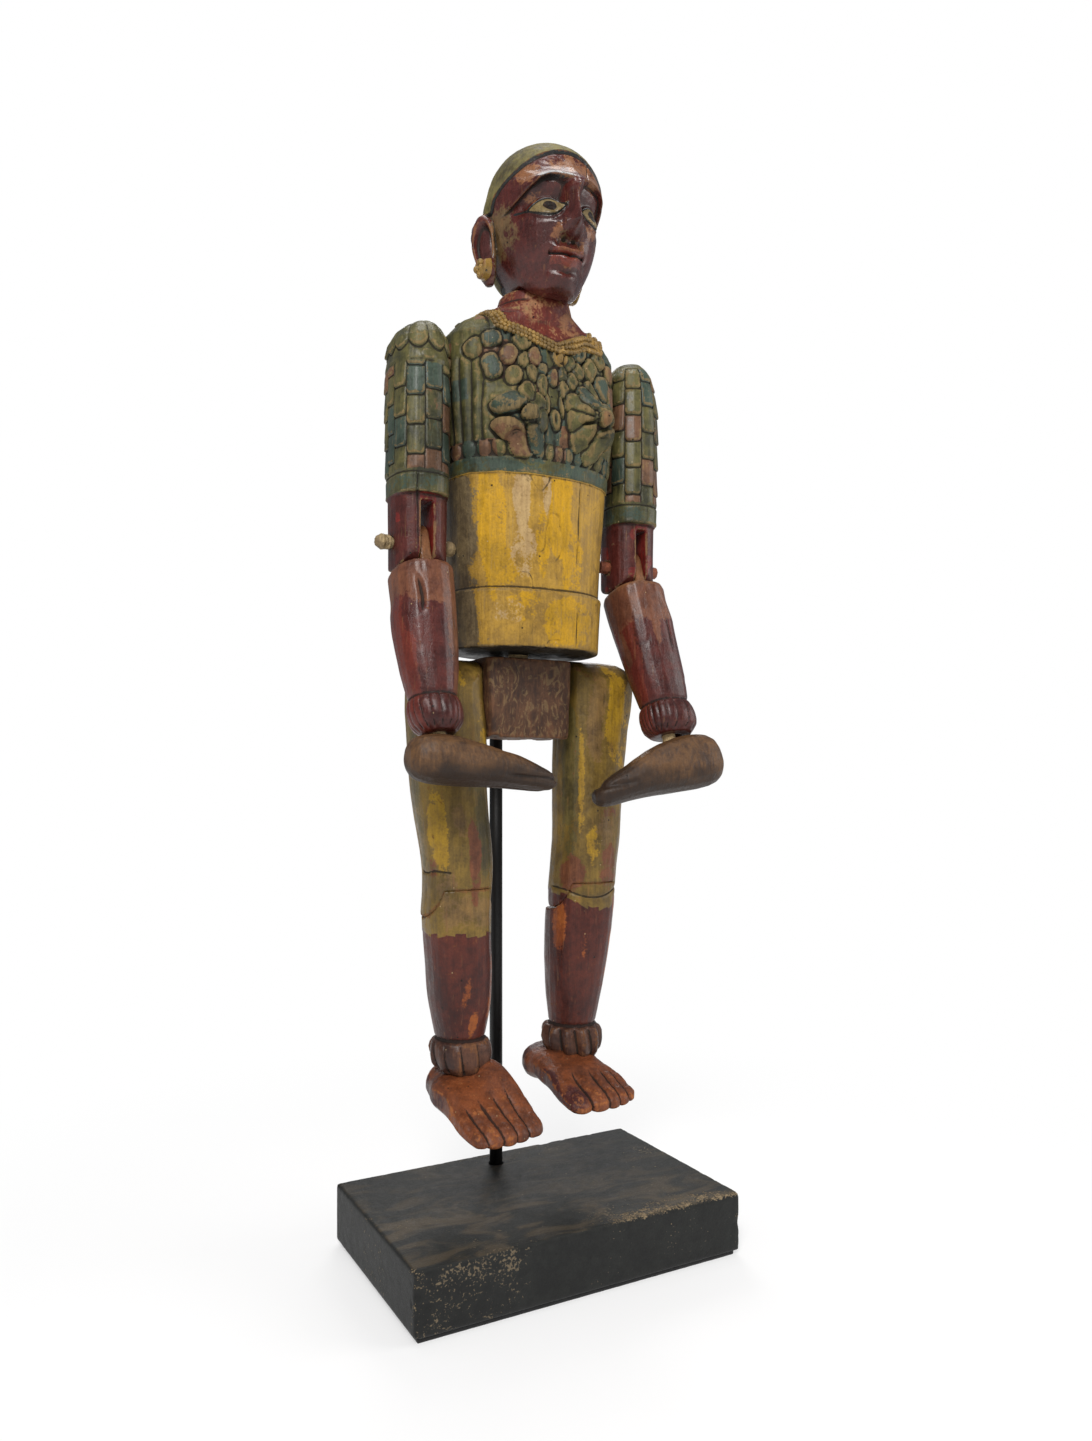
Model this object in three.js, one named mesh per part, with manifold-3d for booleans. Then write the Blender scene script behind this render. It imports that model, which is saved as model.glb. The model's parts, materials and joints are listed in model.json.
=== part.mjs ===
// Jointed wooden puppet on a display stand. Millimetres, +Z up, the figure faces -Y and its left is +X.
// The origin is the centre of the stand's underside.
import * as THREE from "three";
import { mergeVertices } from "three/addons/utils/BufferGeometryUtils.js";
import Module from "manifold-3d";

const wasm = await Module();
wasm.setup();

// Display stand
const BASE_LENGTH = 300;
const BASE_DEPTH = 188;
const BLOCK_HEIGHT = 50;
const BLOCK_BEVEL = 1.5;
const PAD_HEIGHT = 4.4;
const PAD_INSET = 3;
const ROD_RADIUS = 6;
const ROD_X = -5;
const ROD_Y = 69;
const ROD_SEAT_DEPTH = 32;
const ROD_IN_TORSO = 38;
const SCREW_RADIUS = 2.5;
const SCREW_HEAD_RADIUS = 6;
const SCREW_HEAD_HEIGHT = 4;
const SCREW_IN_ROD = 18;

// Place of the figure's centre line on the stand
const FIGURE_X = -1;
const FIGURE_Y = 8;

// Levels of the figure above the underside of the stand
const SOLE_Z = { right: 132, left: 135 };
const ANKLE_Z = 160;
const KNEE_Z = 318;
const HIP_Z = 485;
const PELVIS_BOTTOM_Z = 448;
const PELVIS_TOP_Z = 518;
const TORSO_BOTTOM_Z = 523;
const HEM_TOP_Z = 572;
const YOKE_Z = 799;
const SHOULDER_TOP_Z = { right: 789, left: 797 };
const NECK_TOP_Z = 828;
const CHIN_Z = 818;
const HEAD_HEIGHT = 136;
const ELBOW_Z = 607;
const SHOULDER_Z = 762;

// Trunk
const TORSO_HALF_WIDTH = 74;
const TORSO_HALF_DEPTH = 52;
const HEM_RAISE = 2.5;
const BUST = { right: [-37, 711], left: [41, 717] };
const BUST_RAISE = 28;
const BUST_SPREAD = 18;
const NECK_RADIUS = 31;
const NECK_Y = -6;
const NECK_CLEARANCE = 3.4;
const PELVIS_HALF_WIDTH = 42.5;
const PELVIS_FRONT_Y = -4;
const PELVIS_BACK_Y = 53;
const PELVIS_TAPER = 2.5;
const WAIST_DOWEL_RADIUS = 9;
const WAIST_DOWEL_Y = 24;
const WAIST_DOWEL_IN_PELVIS = 18;
const WAIST_DOWEL_IN_TORSO = 26;

// Head: headAt gives a height on it, counted in 136ths of the head's height above the chin
const HEAD_PARTS = 136;
const headAt = (parts) => CHIN_Z + (HEAD_HEIGHT * parts) / HEAD_PARTS;
const HEAD_HALF_WIDTH = 48;
const HEAD_HALF_DEPTH = 53;
const HEAD_X = 1;
const HEAD_FORWARD = 15;
const CAP_RAISE = 1.6;
const HAIRLINE_Z = headAt(110);
const HAIRLINE_DROP = 34;
const NOSE_RAISE = 15;
const BROW_RAISE = 8;
const EAR_HEIGHT = 60;
const EAR_HALF_DEPTH = 13;
const EAR_TURN = 28;
const EAR_Z = { right: 860, left: 865 };
const EAR_Y = { right: -10, left: -3 };
const STUD_RADIUS = 9;
const STUD_DROP = 17;
const NECK_PEG_RADIUS = 9;
const NECK_PEG_DEPTH = 28;

// Arms
const ARM_X = 105;
const ARM_Y = 4;
const ARM_HALF_WIDTH = 24.5;
const ARM_HALF_DEPTH = 31;
const CUFF_BOTTOM_Z = 645;
const CUFF_HEIGHT = 15;
const CUFF_RAISE = 1.2;
const FORK_HALF_DEPTH = 24;
const FORK_SLOT = 11;
const FORK_SLOT_ABOVE_PIN = 33;
const TONGUE_HALF_DEPTH = 17;
const SHOULDER_DROP = 25.5;
const SHOULDER_PEG_RADIUS = 8;
const SHOULDER_PEG_DEPTH = 30;
const ELBOW_PIN_RADIUS = 4.5;
const ELBOW_KNOB_RADIUS = 6.6;
const ELBOW_KNOB_LENGTH = 9;
const ELBOW_NECK_LENGTH = 3;
const ELBOW_PIN_IN_CAP = 7;
const ELBOW_DOWEL_RADIUS = 5.5;
const ELBOW_DOWEL_INSIDE = 7;
const ELBOW_DOWEL_OUTSIDE = 6;
const FOREARM_LENGTH = 166;
const FOREARM_FLEX = { right: 16, left: 19 };
const FOREARM_SWAY = { right: 0, left: 8 };
const BANGLE_BOTTOM = 3;
const BANGLE_HEIGHT = 25;
const BANGLE_RAISE = 4;
const WRIST_PEG_RADIUS = 6;
const WRIST_PEG_DEPTH = 16;
const HAND_LENGTH = 130;
const HAND_HALF_WIDTH = 22;
const HAND_THICKNESS = { right: 39, left: 50 };
const HAND_HEEL = { right: 27, left: 42 };
const HAND_DROOP = { right: 4, left: 7 };
const HAND_SWIVEL = { right: 0, left: 9 };

// Legs
const HIP_X = 75;
const HIP_SHIFT = 4;
const HIP_Y = 27;
const KNEE_X = 67;
const KNEE_Y = 24;
const ANKLE_X = 56;
const ANKLE_Y = 25;
const HIP_ROUND_RADIUS = 31;
const HIP_PIN_RADIUS = 8;
const HIP_PIN_END = 98;
const KNEE_ROUND_RADIUS = 24;
const KNEE_SLOT = 13;
const KNEE_SLOT_ABOVE_PIN = 21;
const KNEE_TONGUE_RADIUS = 18;
const KNEE_PIN_RADIUS = 4;
const KNEE_PIN_HALF = 21;
const ANKLET_HEIGHT = 27;
const ANKLET_RAISE = 6;
const ANKLET_LOBES = 11;
const ANKLE_DOWEL_RADIUS = 6;
const ANKLE_DOWEL_DEPTH = 14;
const FOOT_LENGTH = 112;
const FOOT_HALF_WIDTH = 33;
const FOOT_X = { right: -60, left: 44 };
const FOOT_HEEL_Y = { right: 51, left: 55 };
const FOOT_POINT = { right: 8, left: 1 };
const FOOT_TURN = { right: 12, left: 8 };

// Fits
const GAP = 0.3;
const PIN_GAP = 0.3;
const SLIP = 0.6;

// Colours of the finished pieces
const material = (color, roughness, metalness = 0) =>
  new THREE.MeshStandardMaterial({ color, roughness, metalness });
const blackPaint = material(0x1d1d1c, 0.6);
const darkFelt = material(0x141312, 0.95);
const blackSteel = material(0x121212, 0.45, 0.6);
const steel = material(0x8b8b88, 0.4, 0.9);
const brownWood = material(0x5a3420, 0.7);
const paleWood = material(0x8a5f38, 0.75);
const redPaint = material(0x59231c, 0.5);
const greenPaint = material(0x4a4a30, 0.65);
const legPaint = material(0x8c6a22, 0.6);
const maroonPaint = material(0x53201a, 0.55);
const footWood = material(0x7d3f22, 0.65);

const puppet = new THREE.Group();
const figure = new THREE.Group();
figure.position.set(FIGURE_X, FIGURE_Y, 0);
puppet.add(figure);
const FULL_TURN = 2 * Math.PI;
const radians = THREE.MathUtils.degToRad;
const SIDES = { right: -1, left: 1 };

// Solids: a closed geometry as a solid for cutting, and back
function solid(geometry) {
  const plain = geometry.clone();
  plain.deleteAttribute("normal");
  plain.deleteAttribute("uv");
  const merged = mergeVertices(plain, 1e-4);
  return new wasm.Manifold(
    new wasm.Mesh({
      numProp: 3,
      vertProperties: new Float32Array(merged.attributes.position.array),
      triVerts: new Uint32Array(merged.index.array),
    }),
  );
}

function toGeometry(shape) {
  const data = shape.getMesh();
  const geometry = new THREE.BufferGeometry();
  geometry.setAttribute("position", new THREE.BufferAttribute(new Float32Array(data.vertProperties), 3));
  geometry.setIndex(new THREE.BufferAttribute(new Uint32Array(data.triVerts), 1));
  geometry.computeVertexNormals();
  return geometry;
}

function addPiece(name, shape, finish, parent = figure) {
  const geometry = shape.isBufferGeometry ? shape : toGeometry(shape);
  const piece = new THREE.Mesh(geometry, finish);
  piece.name = name;
  parent.add(piece);
  return piece;
}

// A round bar along X, Y or Z between two places on that axis
function bar(axis, radius, from, to, at, segments = 16) {
  const geometry = new THREE.CylinderGeometry(radius, radius, to - from, segments);
  geometry.translate(0, (from + to) / 2, 0);
  if (axis === "x") geometry.rotateZ(-Math.PI / 2);
  if (axis === "z") geometry.rotateX(Math.PI / 2);
  geometry.translate(...at);
  return solid(geometry);
}

function block(lows, highs) {
  const size = highs.map((high, i) => high - lows[i]);
  const geometry = new THREE.BoxGeometry(...size);
  geometry.translate(...highs.map((high, i) => (high + lows[i]) / 2));
  return solid(geometry);
}

// Smooth values between rows of numbers whose first entry rises
function between(rows, at) {
  let i = 0;
  while (i < rows.length - 2 && at > rows[i + 1][0]) i += 1;
  const before = rows[Math.max(i - 1, 0)];
  const low = rows[i];
  const high = rows[i + 1];
  const after = rows[Math.min(i + 2, rows.length - 1)];
  const span = high[0] - low[0];
  const t = THREE.MathUtils.clamp((at - low[0]) / span, 0, 1);
  return low.map((value, k) => {
    const slopeLow = ((high[k] - before[k]) / (high[0] - before[0])) * span;
    const slopeHigh = ((after[k] - value) / (after[0] - low[0])) * span;
    const a = 2 * value - 2 * high[k] + slopeLow + slopeHigh;
    const b = -3 * value + 3 * high[k] - 2 * slopeLow - slopeHigh;
    return ((a * t + b) * t + slopeLow) * t + value;
  });
}

// Heights from the first row to the last, a given number of steps, with extra ones where a step is carved
function levels(rows, steps, extra = []) {
  const low = rows[0][0];
  const high = rows[rows.length - 1][0];
  const even = Array.from({ length: steps + 1 }, (_, i) => low + ((high - low) * i) / steps);
  return [...even, ...extra].sort((p, q) => p - q);
}

// A closed body through rings. A row is height, centre x, centre y, half width, half depth, squareness.
function loft(rows, heights, segments, carve = null) {
  const positions = [];
  const index = [];
  const shapePoint = (row, turn) => {
    const [z, cx, cy, a, b, square = 2] = row;
    const c = Math.cos(turn);
    const s = Math.sin(turn);
    const point = new THREE.Vector3(
      cx + a * Math.sign(c) * Math.abs(c) ** (2 / square),
      cy + b * Math.sign(s) * Math.abs(s) ** (2 / square),
      z,
    );
    if (carve) carve(point, turn, row);
    return point;
  };
  heights.forEach((height) => {
    const row = between(rows, height);
    for (let j = 0; j < segments; j += 1) {
      positions.push(...shapePoint(row, (j / segments) * FULL_TURN));
    }
  });
  for (let i = 0; i < heights.length - 1; i += 1) {
    for (let j = 0; j < segments; j += 1) {
      const here = i * segments + j;
      const next = i * segments + ((j + 1) % segments);
      index.push(here, next, here + segments);
      index.push(next, next + segments, here + segments);
    }
  }
  const cap = (ring, up) => {
    const start = ring * segments;
    const middle = new THREE.Vector3();
    for (let j = 0; j < segments; j += 1) {
      middle.x += positions[3 * (start + j)] / segments;
      middle.y += positions[3 * (start + j) + 1] / segments;
      middle.z += positions[3 * (start + j) + 2] / segments;
    }
    const centre = positions.length / 3;
    positions.push(...middle);
    for (let j = 0; j < segments; j += 1) {
      const here = start + j;
      const next = start + ((j + 1) % segments);
      if (up) index.push(here, next, centre);
      else index.push(next, here, centre);
    }
  };
  cap(0, false);
  cap(heights.length - 1, true);
  const geometry = new THREE.BufferGeometry();
  geometry.setAttribute("position", new THREE.Float32BufferAttribute(positions, 3));
  geometry.setIndex(index);
  return geometry;
}

const bump = (distance, spread) => Math.exp(-((distance / spread) ** 2));

// What lies past a rounded end: everything beyond a level that is outside a bar along X
function pastRoundEnd(radius, x, y, z, sign) {
  const reach = 80;
  const low = sign < 0 ? z - reach : z;
  const high = sign < 0 ? z : z + reach;
  return block([x - reach, y - reach, low], [x + reach, y + reach, high]).subtract(
    bar("x", radius, -reach - 1, reach + 1, [x, y, z], 28),
  );
}

// Display stand
const blockTop = PAD_HEIGHT + BLOCK_HEIGHT;
const rodFoot = blockTop - ROD_SEAT_DEPTH;
const rodTop = TORSO_BOTTOM_Z + ROD_IN_TORSO;

function makeStand() {
  const halfLength = BASE_LENGTH / 2 - BLOCK_BEVEL;
  const halfDepth = BASE_DEPTH / 2 - BLOCK_BEVEL;
  const outline = new THREE.Shape();
  outline.moveTo(-halfLength, -halfDepth);
  outline.lineTo(halfLength, -halfDepth);
  outline.lineTo(halfLength, halfDepth);
  outline.lineTo(-halfLength, halfDepth);
  outline.closePath();
  const plinth = new THREE.ExtrudeGeometry(outline, {
    depth: BLOCK_HEIGHT - 2 * BLOCK_BEVEL,
    bevelThickness: BLOCK_BEVEL,
    bevelSize: BLOCK_BEVEL,
    bevelSegments: 2,
  });
  plinth.translate(0, 0, PAD_HEIGHT + BLOCK_BEVEL);
  const at = [ROD_X, ROD_Y, 0];
  const rodSeat = bar("z", ROD_RADIUS + PIN_GAP, rodFoot - GAP, blockTop + 5, at);
  const screwHole = bar("z", SCREW_RADIUS + PIN_GAP, 0, rodFoot, at, 12);
  const counterbore = bar("z", SCREW_HEAD_RADIUS + PIN_GAP, 0, PAD_HEIGHT + SCREW_HEAD_HEIGHT + 2 * GAP, at);
  const plinthSolid = solid(plinth).subtract(rodSeat).subtract(screwHole).subtract(counterbore);
  addPiece("base_block", plinthSolid, blackPaint, puppet);

  const pad = new THREE.BoxGeometry(BASE_LENGTH - 2 * PAD_INSET, BASE_DEPTH - 2 * PAD_INSET, PAD_HEIGHT - GAP);
  pad.translate(0, 0, (PAD_HEIGHT - GAP) / 2);
  addPiece("base_pad", pad, darkFelt, puppet);

  const rod = bar("z", ROD_RADIUS, rodFoot, rodTop, at).subtract(
    bar("z", SCREW_RADIUS + PIN_GAP, rodFoot - 1, rodFoot + SCREW_IN_ROD + 1, at, 12),
  );
  addPiece("support_rod", rod, blackSteel, puppet);

  const headTop = PAD_HEIGHT + SCREW_HEAD_HEIGHT + GAP;
  const screw = bar("z", SCREW_HEAD_RADIUS, PAD_HEIGHT + GAP, headTop, at).add(
    bar("z", SCREW_RADIUS, headTop - 1, rodFoot + SCREW_IN_ROD, at, 12),
  );
  addPiece("rod_screw", screw, steel, puppet);
}

// Trunk
const torsoRows = [
  [TORSO_BOTTOM_Z, 0, 16, TORSO_HALF_WIDTH - 7, TORSO_HALF_DEPTH + 1, 2.3],
  [HEM_TOP_Z, 0, 14, TORSO_HALF_WIDTH - 5, TORSO_HALF_DEPTH + 1, 2.3],
  [620, 0, 11, TORSO_HALF_WIDTH - 3, TORSO_HALF_DEPTH, 2.3],
  [665, 0, 8, TORSO_HALF_WIDTH, TORSO_HALF_DEPTH - 2, 2.3],
  [700, 0, 6, TORSO_HALF_WIDTH + 2, TORSO_HALF_DEPTH - 3, 2.3],
  [740, 0, 4, TORSO_HALF_WIDTH + 5, TORSO_HALF_DEPTH - 6, 2.3],
  [768, 0, 3, TORSO_HALF_WIDTH + 6, TORSO_HALF_DEPTH - 10, 2.3],
  [YOKE_Z - 15, 0, 2, TORSO_HALF_WIDTH + 6, TORSO_HALF_DEPTH - 12, 2.3],
  [YOKE_Z - 6, 0, 0, TORSO_HALF_WIDTH + 3, TORSO_HALF_DEPTH - 15, 2.2],
  [YOKE_Z, 0, -2, TORSO_HALF_WIDTH - 5, TORSO_HALF_DEPTH - 19, 2.1],
  [YOKE_Z + 6, 0, -4, NECK_RADIUS + 20, NECK_RADIUS + 2, 2],
  [YOKE_Z + 12, 0, NECK_Y, NECK_RADIUS + 8, NECK_RADIUS + 1, 2],
  [CHIN_Z - 1, 0, NECK_Y, NECK_RADIUS + 1.2, NECK_RADIUS, 2],
  [NECK_TOP_Z, 0, NECK_Y, NECK_RADIUS, NECK_RADIUS - 1, 2],
];

function carveTorso(point, turn, row) {
  const raised = point.z < HEM_TOP_Z - 0.5 ? HEM_RAISE : 0;
  point.x += raised * Math.cos(turn);
  point.y += raised * Math.sin(turn);
  if (Math.sin(turn) < 0) {
    const front = Math.min(1, -Math.sin(turn) * 2);
    Object.values(BUST).forEach(([x, z]) => {
      const away = Math.hypot(row[1] + x - point.x, point.z - z);
      point.y -= BUST_RAISE * front * bump(away, BUST_SPREAD);
    });
  }
}

function makeTrunk() {
  const heights = levels(torsoRows, 22, [HEM_TOP_Z - 1, HEM_TOP_Z + 1, YOKE_Z, YOKE_Z + 6]);
  const dowelAt = [0, WAIST_DOWEL_Y, 0];
  const dowelLow = PELVIS_TOP_Z - WAIST_DOWEL_IN_PELVIS;
  const dowelHigh = TORSO_BOTTOM_Z + WAIST_DOWEL_IN_TORSO;
  const dowelBore = bar("z", WAIST_DOWEL_RADIUS + PIN_GAP, dowelLow - GAP, dowelHigh + GAP, dowelAt);
  const neckBore = bar(
    "z",
    NECK_PEG_RADIUS + PIN_GAP,
    NECK_TOP_Z - NECK_PEG_DEPTH - GAP,
    NECK_TOP_Z + 5,
    [0, NECK_Y, 0],
  );
  const rodAt = [ROD_X - FIGURE_X, ROD_Y - FIGURE_Y, 0];
  const rodBore = bar("z", ROD_RADIUS + PIN_GAP, TORSO_BOTTOM_Z - 5, rodTop + GAP, rodAt);
  let torso = solid(loft(torsoRows, heights, 32, carveTorso));
  torso = torso.subtract(dowelBore).subtract(neckBore).subtract(rodBore);
  Object.values(SIDES).forEach((side) => {
    const reach = [ARM_X - ARM_HALF_WIDTH - SHOULDER_PEG_DEPTH - GAP, ARM_X].map((x) => x * side);
    const bore = bar("x", SHOULDER_PEG_RADIUS + PIN_GAP, Math.min(...reach), Math.max(...reach), [
      0,
      ARM_Y,
      SHOULDER_Z,
    ]);
    torso = torso.subtract(bore);
  });
  addPiece("torso", torso, greenPaint);
  addPiece("waist_dowel", bar("z", WAIST_DOWEL_RADIUS, dowelLow, dowelHigh, dowelAt), paleWood);

  const middle = (PELVIS_FRONT_Y + PELVIS_BACK_Y) / 2;
  const half = (PELVIS_BACK_Y - PELVIS_FRONT_Y) / 2;
  const pelvisRows = [
    [PELVIS_BOTTOM_Z, 0, middle, PELVIS_HALF_WIDTH - PELVIS_TAPER - 1, half - 1, 9],
    [PELVIS_BOTTOM_Z + 2, 0, middle, PELVIS_HALF_WIDTH - PELVIS_TAPER, half, 9],
    [PELVIS_TOP_Z - 2, 0, middle, PELVIS_HALF_WIDTH, half, 9],
    [PELVIS_TOP_Z, 0, middle, PELVIS_HALF_WIDTH - 1, half - 1, 9],
  ];
  const pelvisHeights = [PELVIS_BOTTOM_Z, PELVIS_BOTTOM_Z + 2, HIP_Z, PELVIS_TOP_Z - 2, PELVIS_TOP_Z];
  const hipBore = bar("x", HIP_PIN_RADIUS + PIN_GAP, -PELVIS_HALF_WIDTH - 5, PELVIS_HALF_WIDTH + 5, [
    0,
    HIP_Y,
    HIP_Z,
  ]);
  const pelvis = solid(loft(pelvisRows, pelvisHeights, 28));
  addPiece("pelvis", pelvis.subtract(hipBore).subtract(dowelBore), brownWood);
}

// Head, with its cap of hair, ears and ear studs carved from the same block
const headRows = [
  [headAt(0), HEAD_X, -HEAD_FORWARD - 25, 12, 10],
  [headAt(3), HEAD_X, -HEAD_FORWARD - 22, 19, 17],
  [headAt(9), HEAD_X, -HEAD_FORWARD - 14, 26, 28],
  [headAt(18), HEAD_X, -HEAD_FORWARD - 7, 32, 39],
  [headAt(32), HEAD_X, -HEAD_FORWARD - 3, HEAD_HALF_WIDTH - 9, HEAD_HALF_DEPTH - 4],
  [headAt(50), HEAD_X, -HEAD_FORWARD - 4, HEAD_HALF_WIDTH - 4, HEAD_HALF_DEPTH - 2],
  [headAt(70), HEAD_X, -HEAD_FORWARD - 4, HEAD_HALF_WIDTH - 1, HEAD_HALF_DEPTH - 1],
  [headAt(84), HEAD_X, -HEAD_FORWARD - 4, HEAD_HALF_WIDTH, HEAD_HALF_DEPTH],
  [headAt(94), HEAD_X, -HEAD_FORWARD - 3, HEAD_HALF_WIDTH - 1.5, HEAD_HALF_DEPTH - 1.5],
  [headAt(106), HEAD_X, -HEAD_FORWARD - 2, HEAD_HALF_WIDTH - 5, HEAD_HALF_DEPTH - 5],
  [headAt(118), HEAD_X, -HEAD_FORWARD - 1, HEAD_HALF_WIDTH - 12, HEAD_HALF_DEPTH - 12],
  [headAt(127), HEAD_X, -HEAD_FORWARD, HEAD_HALF_WIDTH - 21.5, HEAD_HALF_DEPTH - 22.5],
  [headAt(133), HEAD_X, -HEAD_FORWARD, HEAD_HALF_WIDTH - 32, HEAD_HALF_DEPTH - 36],
  [headAt(HEAD_PARTS), HEAD_X, -HEAD_FORWARD, HEAD_HALF_WIDTH - 41, HEAD_HALF_DEPTH - 45],
];
const NOSE_TIP_Z = headAt(48);
const BROW_Z = headAt(82);
const EYE_Z = headAt(62);
const EYE_X = 19;
const MOUTH_Z = headAt(26);
const CHIN_FRONT_Z = headAt(9);

function carveHead(point, turn) {
  const sideways = Math.abs(Math.cos(turn));
  const behind = Math.max(0, Math.sin(turn));
  const hairline = HAIRLINE_Z - HAIRLINE_DROP * (sideways ** 2 + 2 * behind);
  if (point.z > hairline) {
    point.x += CAP_RAISE * Math.cos(turn);
    point.y += CAP_RAISE * Math.sin(turn);
  }
  if (Math.sin(turn) > -0.15) return;
  const across = Math.abs(point.x - HEAD_X);
  const noseSlope = THREE.MathUtils.clamp((BROW_Z - point.z) / (BROW_Z - NOSE_TIP_Z), 0, 1);
  const below = Math.max(0, NOSE_TIP_Z - point.z);
  const nose = (4 + (NOSE_RAISE - 4) * noseSlope) * bump(across, 6 + 3 * noseSlope) * bump(below, 5);
  const onNose = point.z < BROW_Z + 8 ? nose : nose * bump(point.z - BROW_Z - 8, 6);
  const arch = point.z - BROW_Z + 0.004 * (across - 18) ** 2;
  const brow = BROW_RAISE * bump(arch, 7) * bump(Math.max(0, across - 30), 8);
  const socket = 3.5 * bump(point.z - EYE_Z, 8) * bump(across - EYE_X, 12);
  const lips = 4.5 * bump(point.z - MOUTH_Z, 6) * bump(across, 14);
  const chin = 4 * bump(point.z - CHIN_FRONT_Z, 8) * bump(across, 14);
  point.y -= onNose + brow - socket + lips + chin;
}

// An ear stands off the head, turned a little to the front
function makeEar(name, side) {
  const rows = [
    [-EAR_HEIGHT / 2, 0, 0, 3, 4],
    [-EAR_HEIGHT / 2 + 5, 0, 0, 5.5, EAR_HALF_DEPTH - 5],
    [-4, 0, 0, 5.5, EAR_HALF_DEPTH - 2],
    [EAR_HEIGHT / 2 - 14, 0, 1, 5.5, EAR_HALF_DEPTH],
    [EAR_HEIGHT / 2 - 5, 0, 1, 5, EAR_HALF_DEPTH - 3],
    [EAR_HEIGHT / 2, 0, 1, 3, 5],
  ];
  const ear = loft(rows, levels(rows, 8), 14);
  ear.rotateX(radians(-4));
  ear.rotateZ(radians(-side * EAR_TURN));
  ear.translate(HEAD_X + side * (HEAD_HALF_WIDTH + 2), EAR_Y[name], EAR_Z[name]);
  return solid(ear);
}

function makeHead() {
  const heights = levels(headRows, 28, [headAt(3), headAt(134.5)]);
  let head = solid(loft(headRows, heights, 36, carveHead));
  const neckSpace = bar("z", NECK_RADIUS + NECK_CLEARANCE, NECK_TOP_Z - 40, NECK_TOP_Z + GAP, [0, NECK_Y, 0], 28);
  const pegAt = [0, NECK_Y, 0];
  const pegTop = NECK_TOP_Z + NECK_PEG_DEPTH;
  Object.entries(SIDES).forEach(([name, side]) => {
    const studFrom = HEAD_X + side * HEAD_HALF_WIDTH;
    const studTo = HEAD_X + side * (HEAD_HALF_WIDTH + 11);
    const stud = bar("x", STUD_RADIUS, Math.min(studFrom, studTo), Math.max(studFrom, studTo), [
      0,
      EAR_Y[name] - 3,
      EAR_Z[name] - STUD_DROP,
    ]);
    head = head.add(makeEar(name, side)).add(stud);
  });
  head = head.subtract(neckSpace);
  head = head.subtract(bar("z", NECK_PEG_RADIUS + PIN_GAP, NECK_TOP_Z - 5, pegTop + GAP, pegAt));
  addPiece("head", head, redPaint);
  addPiece("neck_peg", bar("z", NECK_PEG_RADIUS, NECK_TOP_Z - NECK_PEG_DEPTH, pegTop, pegAt), paleWood);
}

// Arms
const cuffTop = CUFF_BOTTOM_Z + CUFF_HEIGHT;
const forkBottom = ELBOW_Z - FORK_HALF_DEPTH;
const armRows = (top) => [
  [forkBottom, 0, 0, ARM_HALF_WIDTH - 1.5, FORK_HALF_DEPTH, 2.6],
  [CUFF_BOTTOM_Z - 0.5, 0, 0, ARM_HALF_WIDTH - 1, FORK_HALF_DEPTH, 2.6],
  [CUFF_BOTTOM_Z + 0.5, 0, 0, ARM_HALF_WIDTH - 0.5, ARM_HALF_DEPTH - 3, 2.6],
  [CUFF_BOTTOM_Z + 35, 0, 0, ARM_HALF_WIDTH - 0.5, ARM_HALF_DEPTH - 1, 2.5],
  [CUFF_BOTTOM_Z + 85, 0, 0, ARM_HALF_WIDTH, ARM_HALF_DEPTH, 2.5],
  [top - 24, 0, 0, ARM_HALF_WIDTH - 1, ARM_HALF_DEPTH - 1, 2.4],
  [top - 9, 0, 0, ARM_HALF_WIDTH - 5, ARM_HALF_DEPTH - 6, 2.2],
  [top, 0, 0, ARM_HALF_WIDTH - 12, ARM_HALF_DEPTH - 15, 2],
];

function carveArm(point, turn) {
  const inCuff = point.z > CUFF_BOTTOM_Z && point.z < cuffTop;
  const raise = inCuff ? CUFF_RAISE : 0;
  point.y += raise * Math.sin(turn);
}

function makeUpperArm(name, side) {
  const top = SHOULDER_TOP_Z[name];
  const heights = [
    forkBottom,
    ELBOW_Z,
    ...levels([[CUFF_BOTTOM_Z - 0.5], [CUFF_BOTTOM_Z + 0.5]], 1),
    cuffTop - 0.5,
    cuffTop + 0.5,
    ...levels([[CUFF_BOTTOM_Z + 35], [top - 14]], 5),
    top - 6,
    top - 2,
    top,
  ];
  const geometry = loft(armRows(top), heights, 22, carveArm);
  geometry.translate(side * ARM_X, ARM_Y, 0);
  const pinRadius = side < 0 ? ELBOW_PIN_RADIUS : ELBOW_DOWEL_RADIUS;
  const x = side * ARM_X;
  const slot = block(
    [x - FORK_SLOT / 2, ARM_Y - 60, forkBottom - 5],
    [x + FORK_SLOT / 2, ARM_Y + 60, ELBOW_Z + FORK_SLOT_ABOVE_PIN],
  );
  const bore = bar("x", pinRadius + PIN_GAP, -50, 50, [x, ARM_Y, ELBOW_Z]);
  const pegReach = [side * (ARM_X - ARM_HALF_WIDTH - 5), side * (ARM_X + SHOULDER_PEG_DEPTH / 2 + GAP)];
  const pegBore = bar("x", SHOULDER_PEG_RADIUS + PIN_GAP, Math.min(...pegReach), Math.max(...pegReach), [
    0,
    ARM_Y,
    SHOULDER_Z,
  ]);
  const arm = solid(geometry)
    .subtract(slot)
    .subtract(pastRoundEnd(FORK_HALF_DEPTH, x, ARM_Y, ELBOW_Z, -1))
    .subtract(bore)
    .subtract(pegBore);
  addPiece(`upper_arm_${name}`, arm, greenPaint);
}

function makeShoulderPeg(name, side) {
  const inner = ARM_X - ARM_HALF_WIDTH - SHOULDER_PEG_DEPTH;
  const outer = ARM_X + SHOULDER_PEG_DEPTH / 2;
  const reach = [side * inner, side * outer];
  const peg = bar("x", SHOULDER_PEG_RADIUS, Math.min(...reach), Math.max(...reach), [0, ARM_Y, SHOULDER_Z]);
  addPiece(`shoulder_peg_${name}`, peg, paleWood);
}

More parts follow.
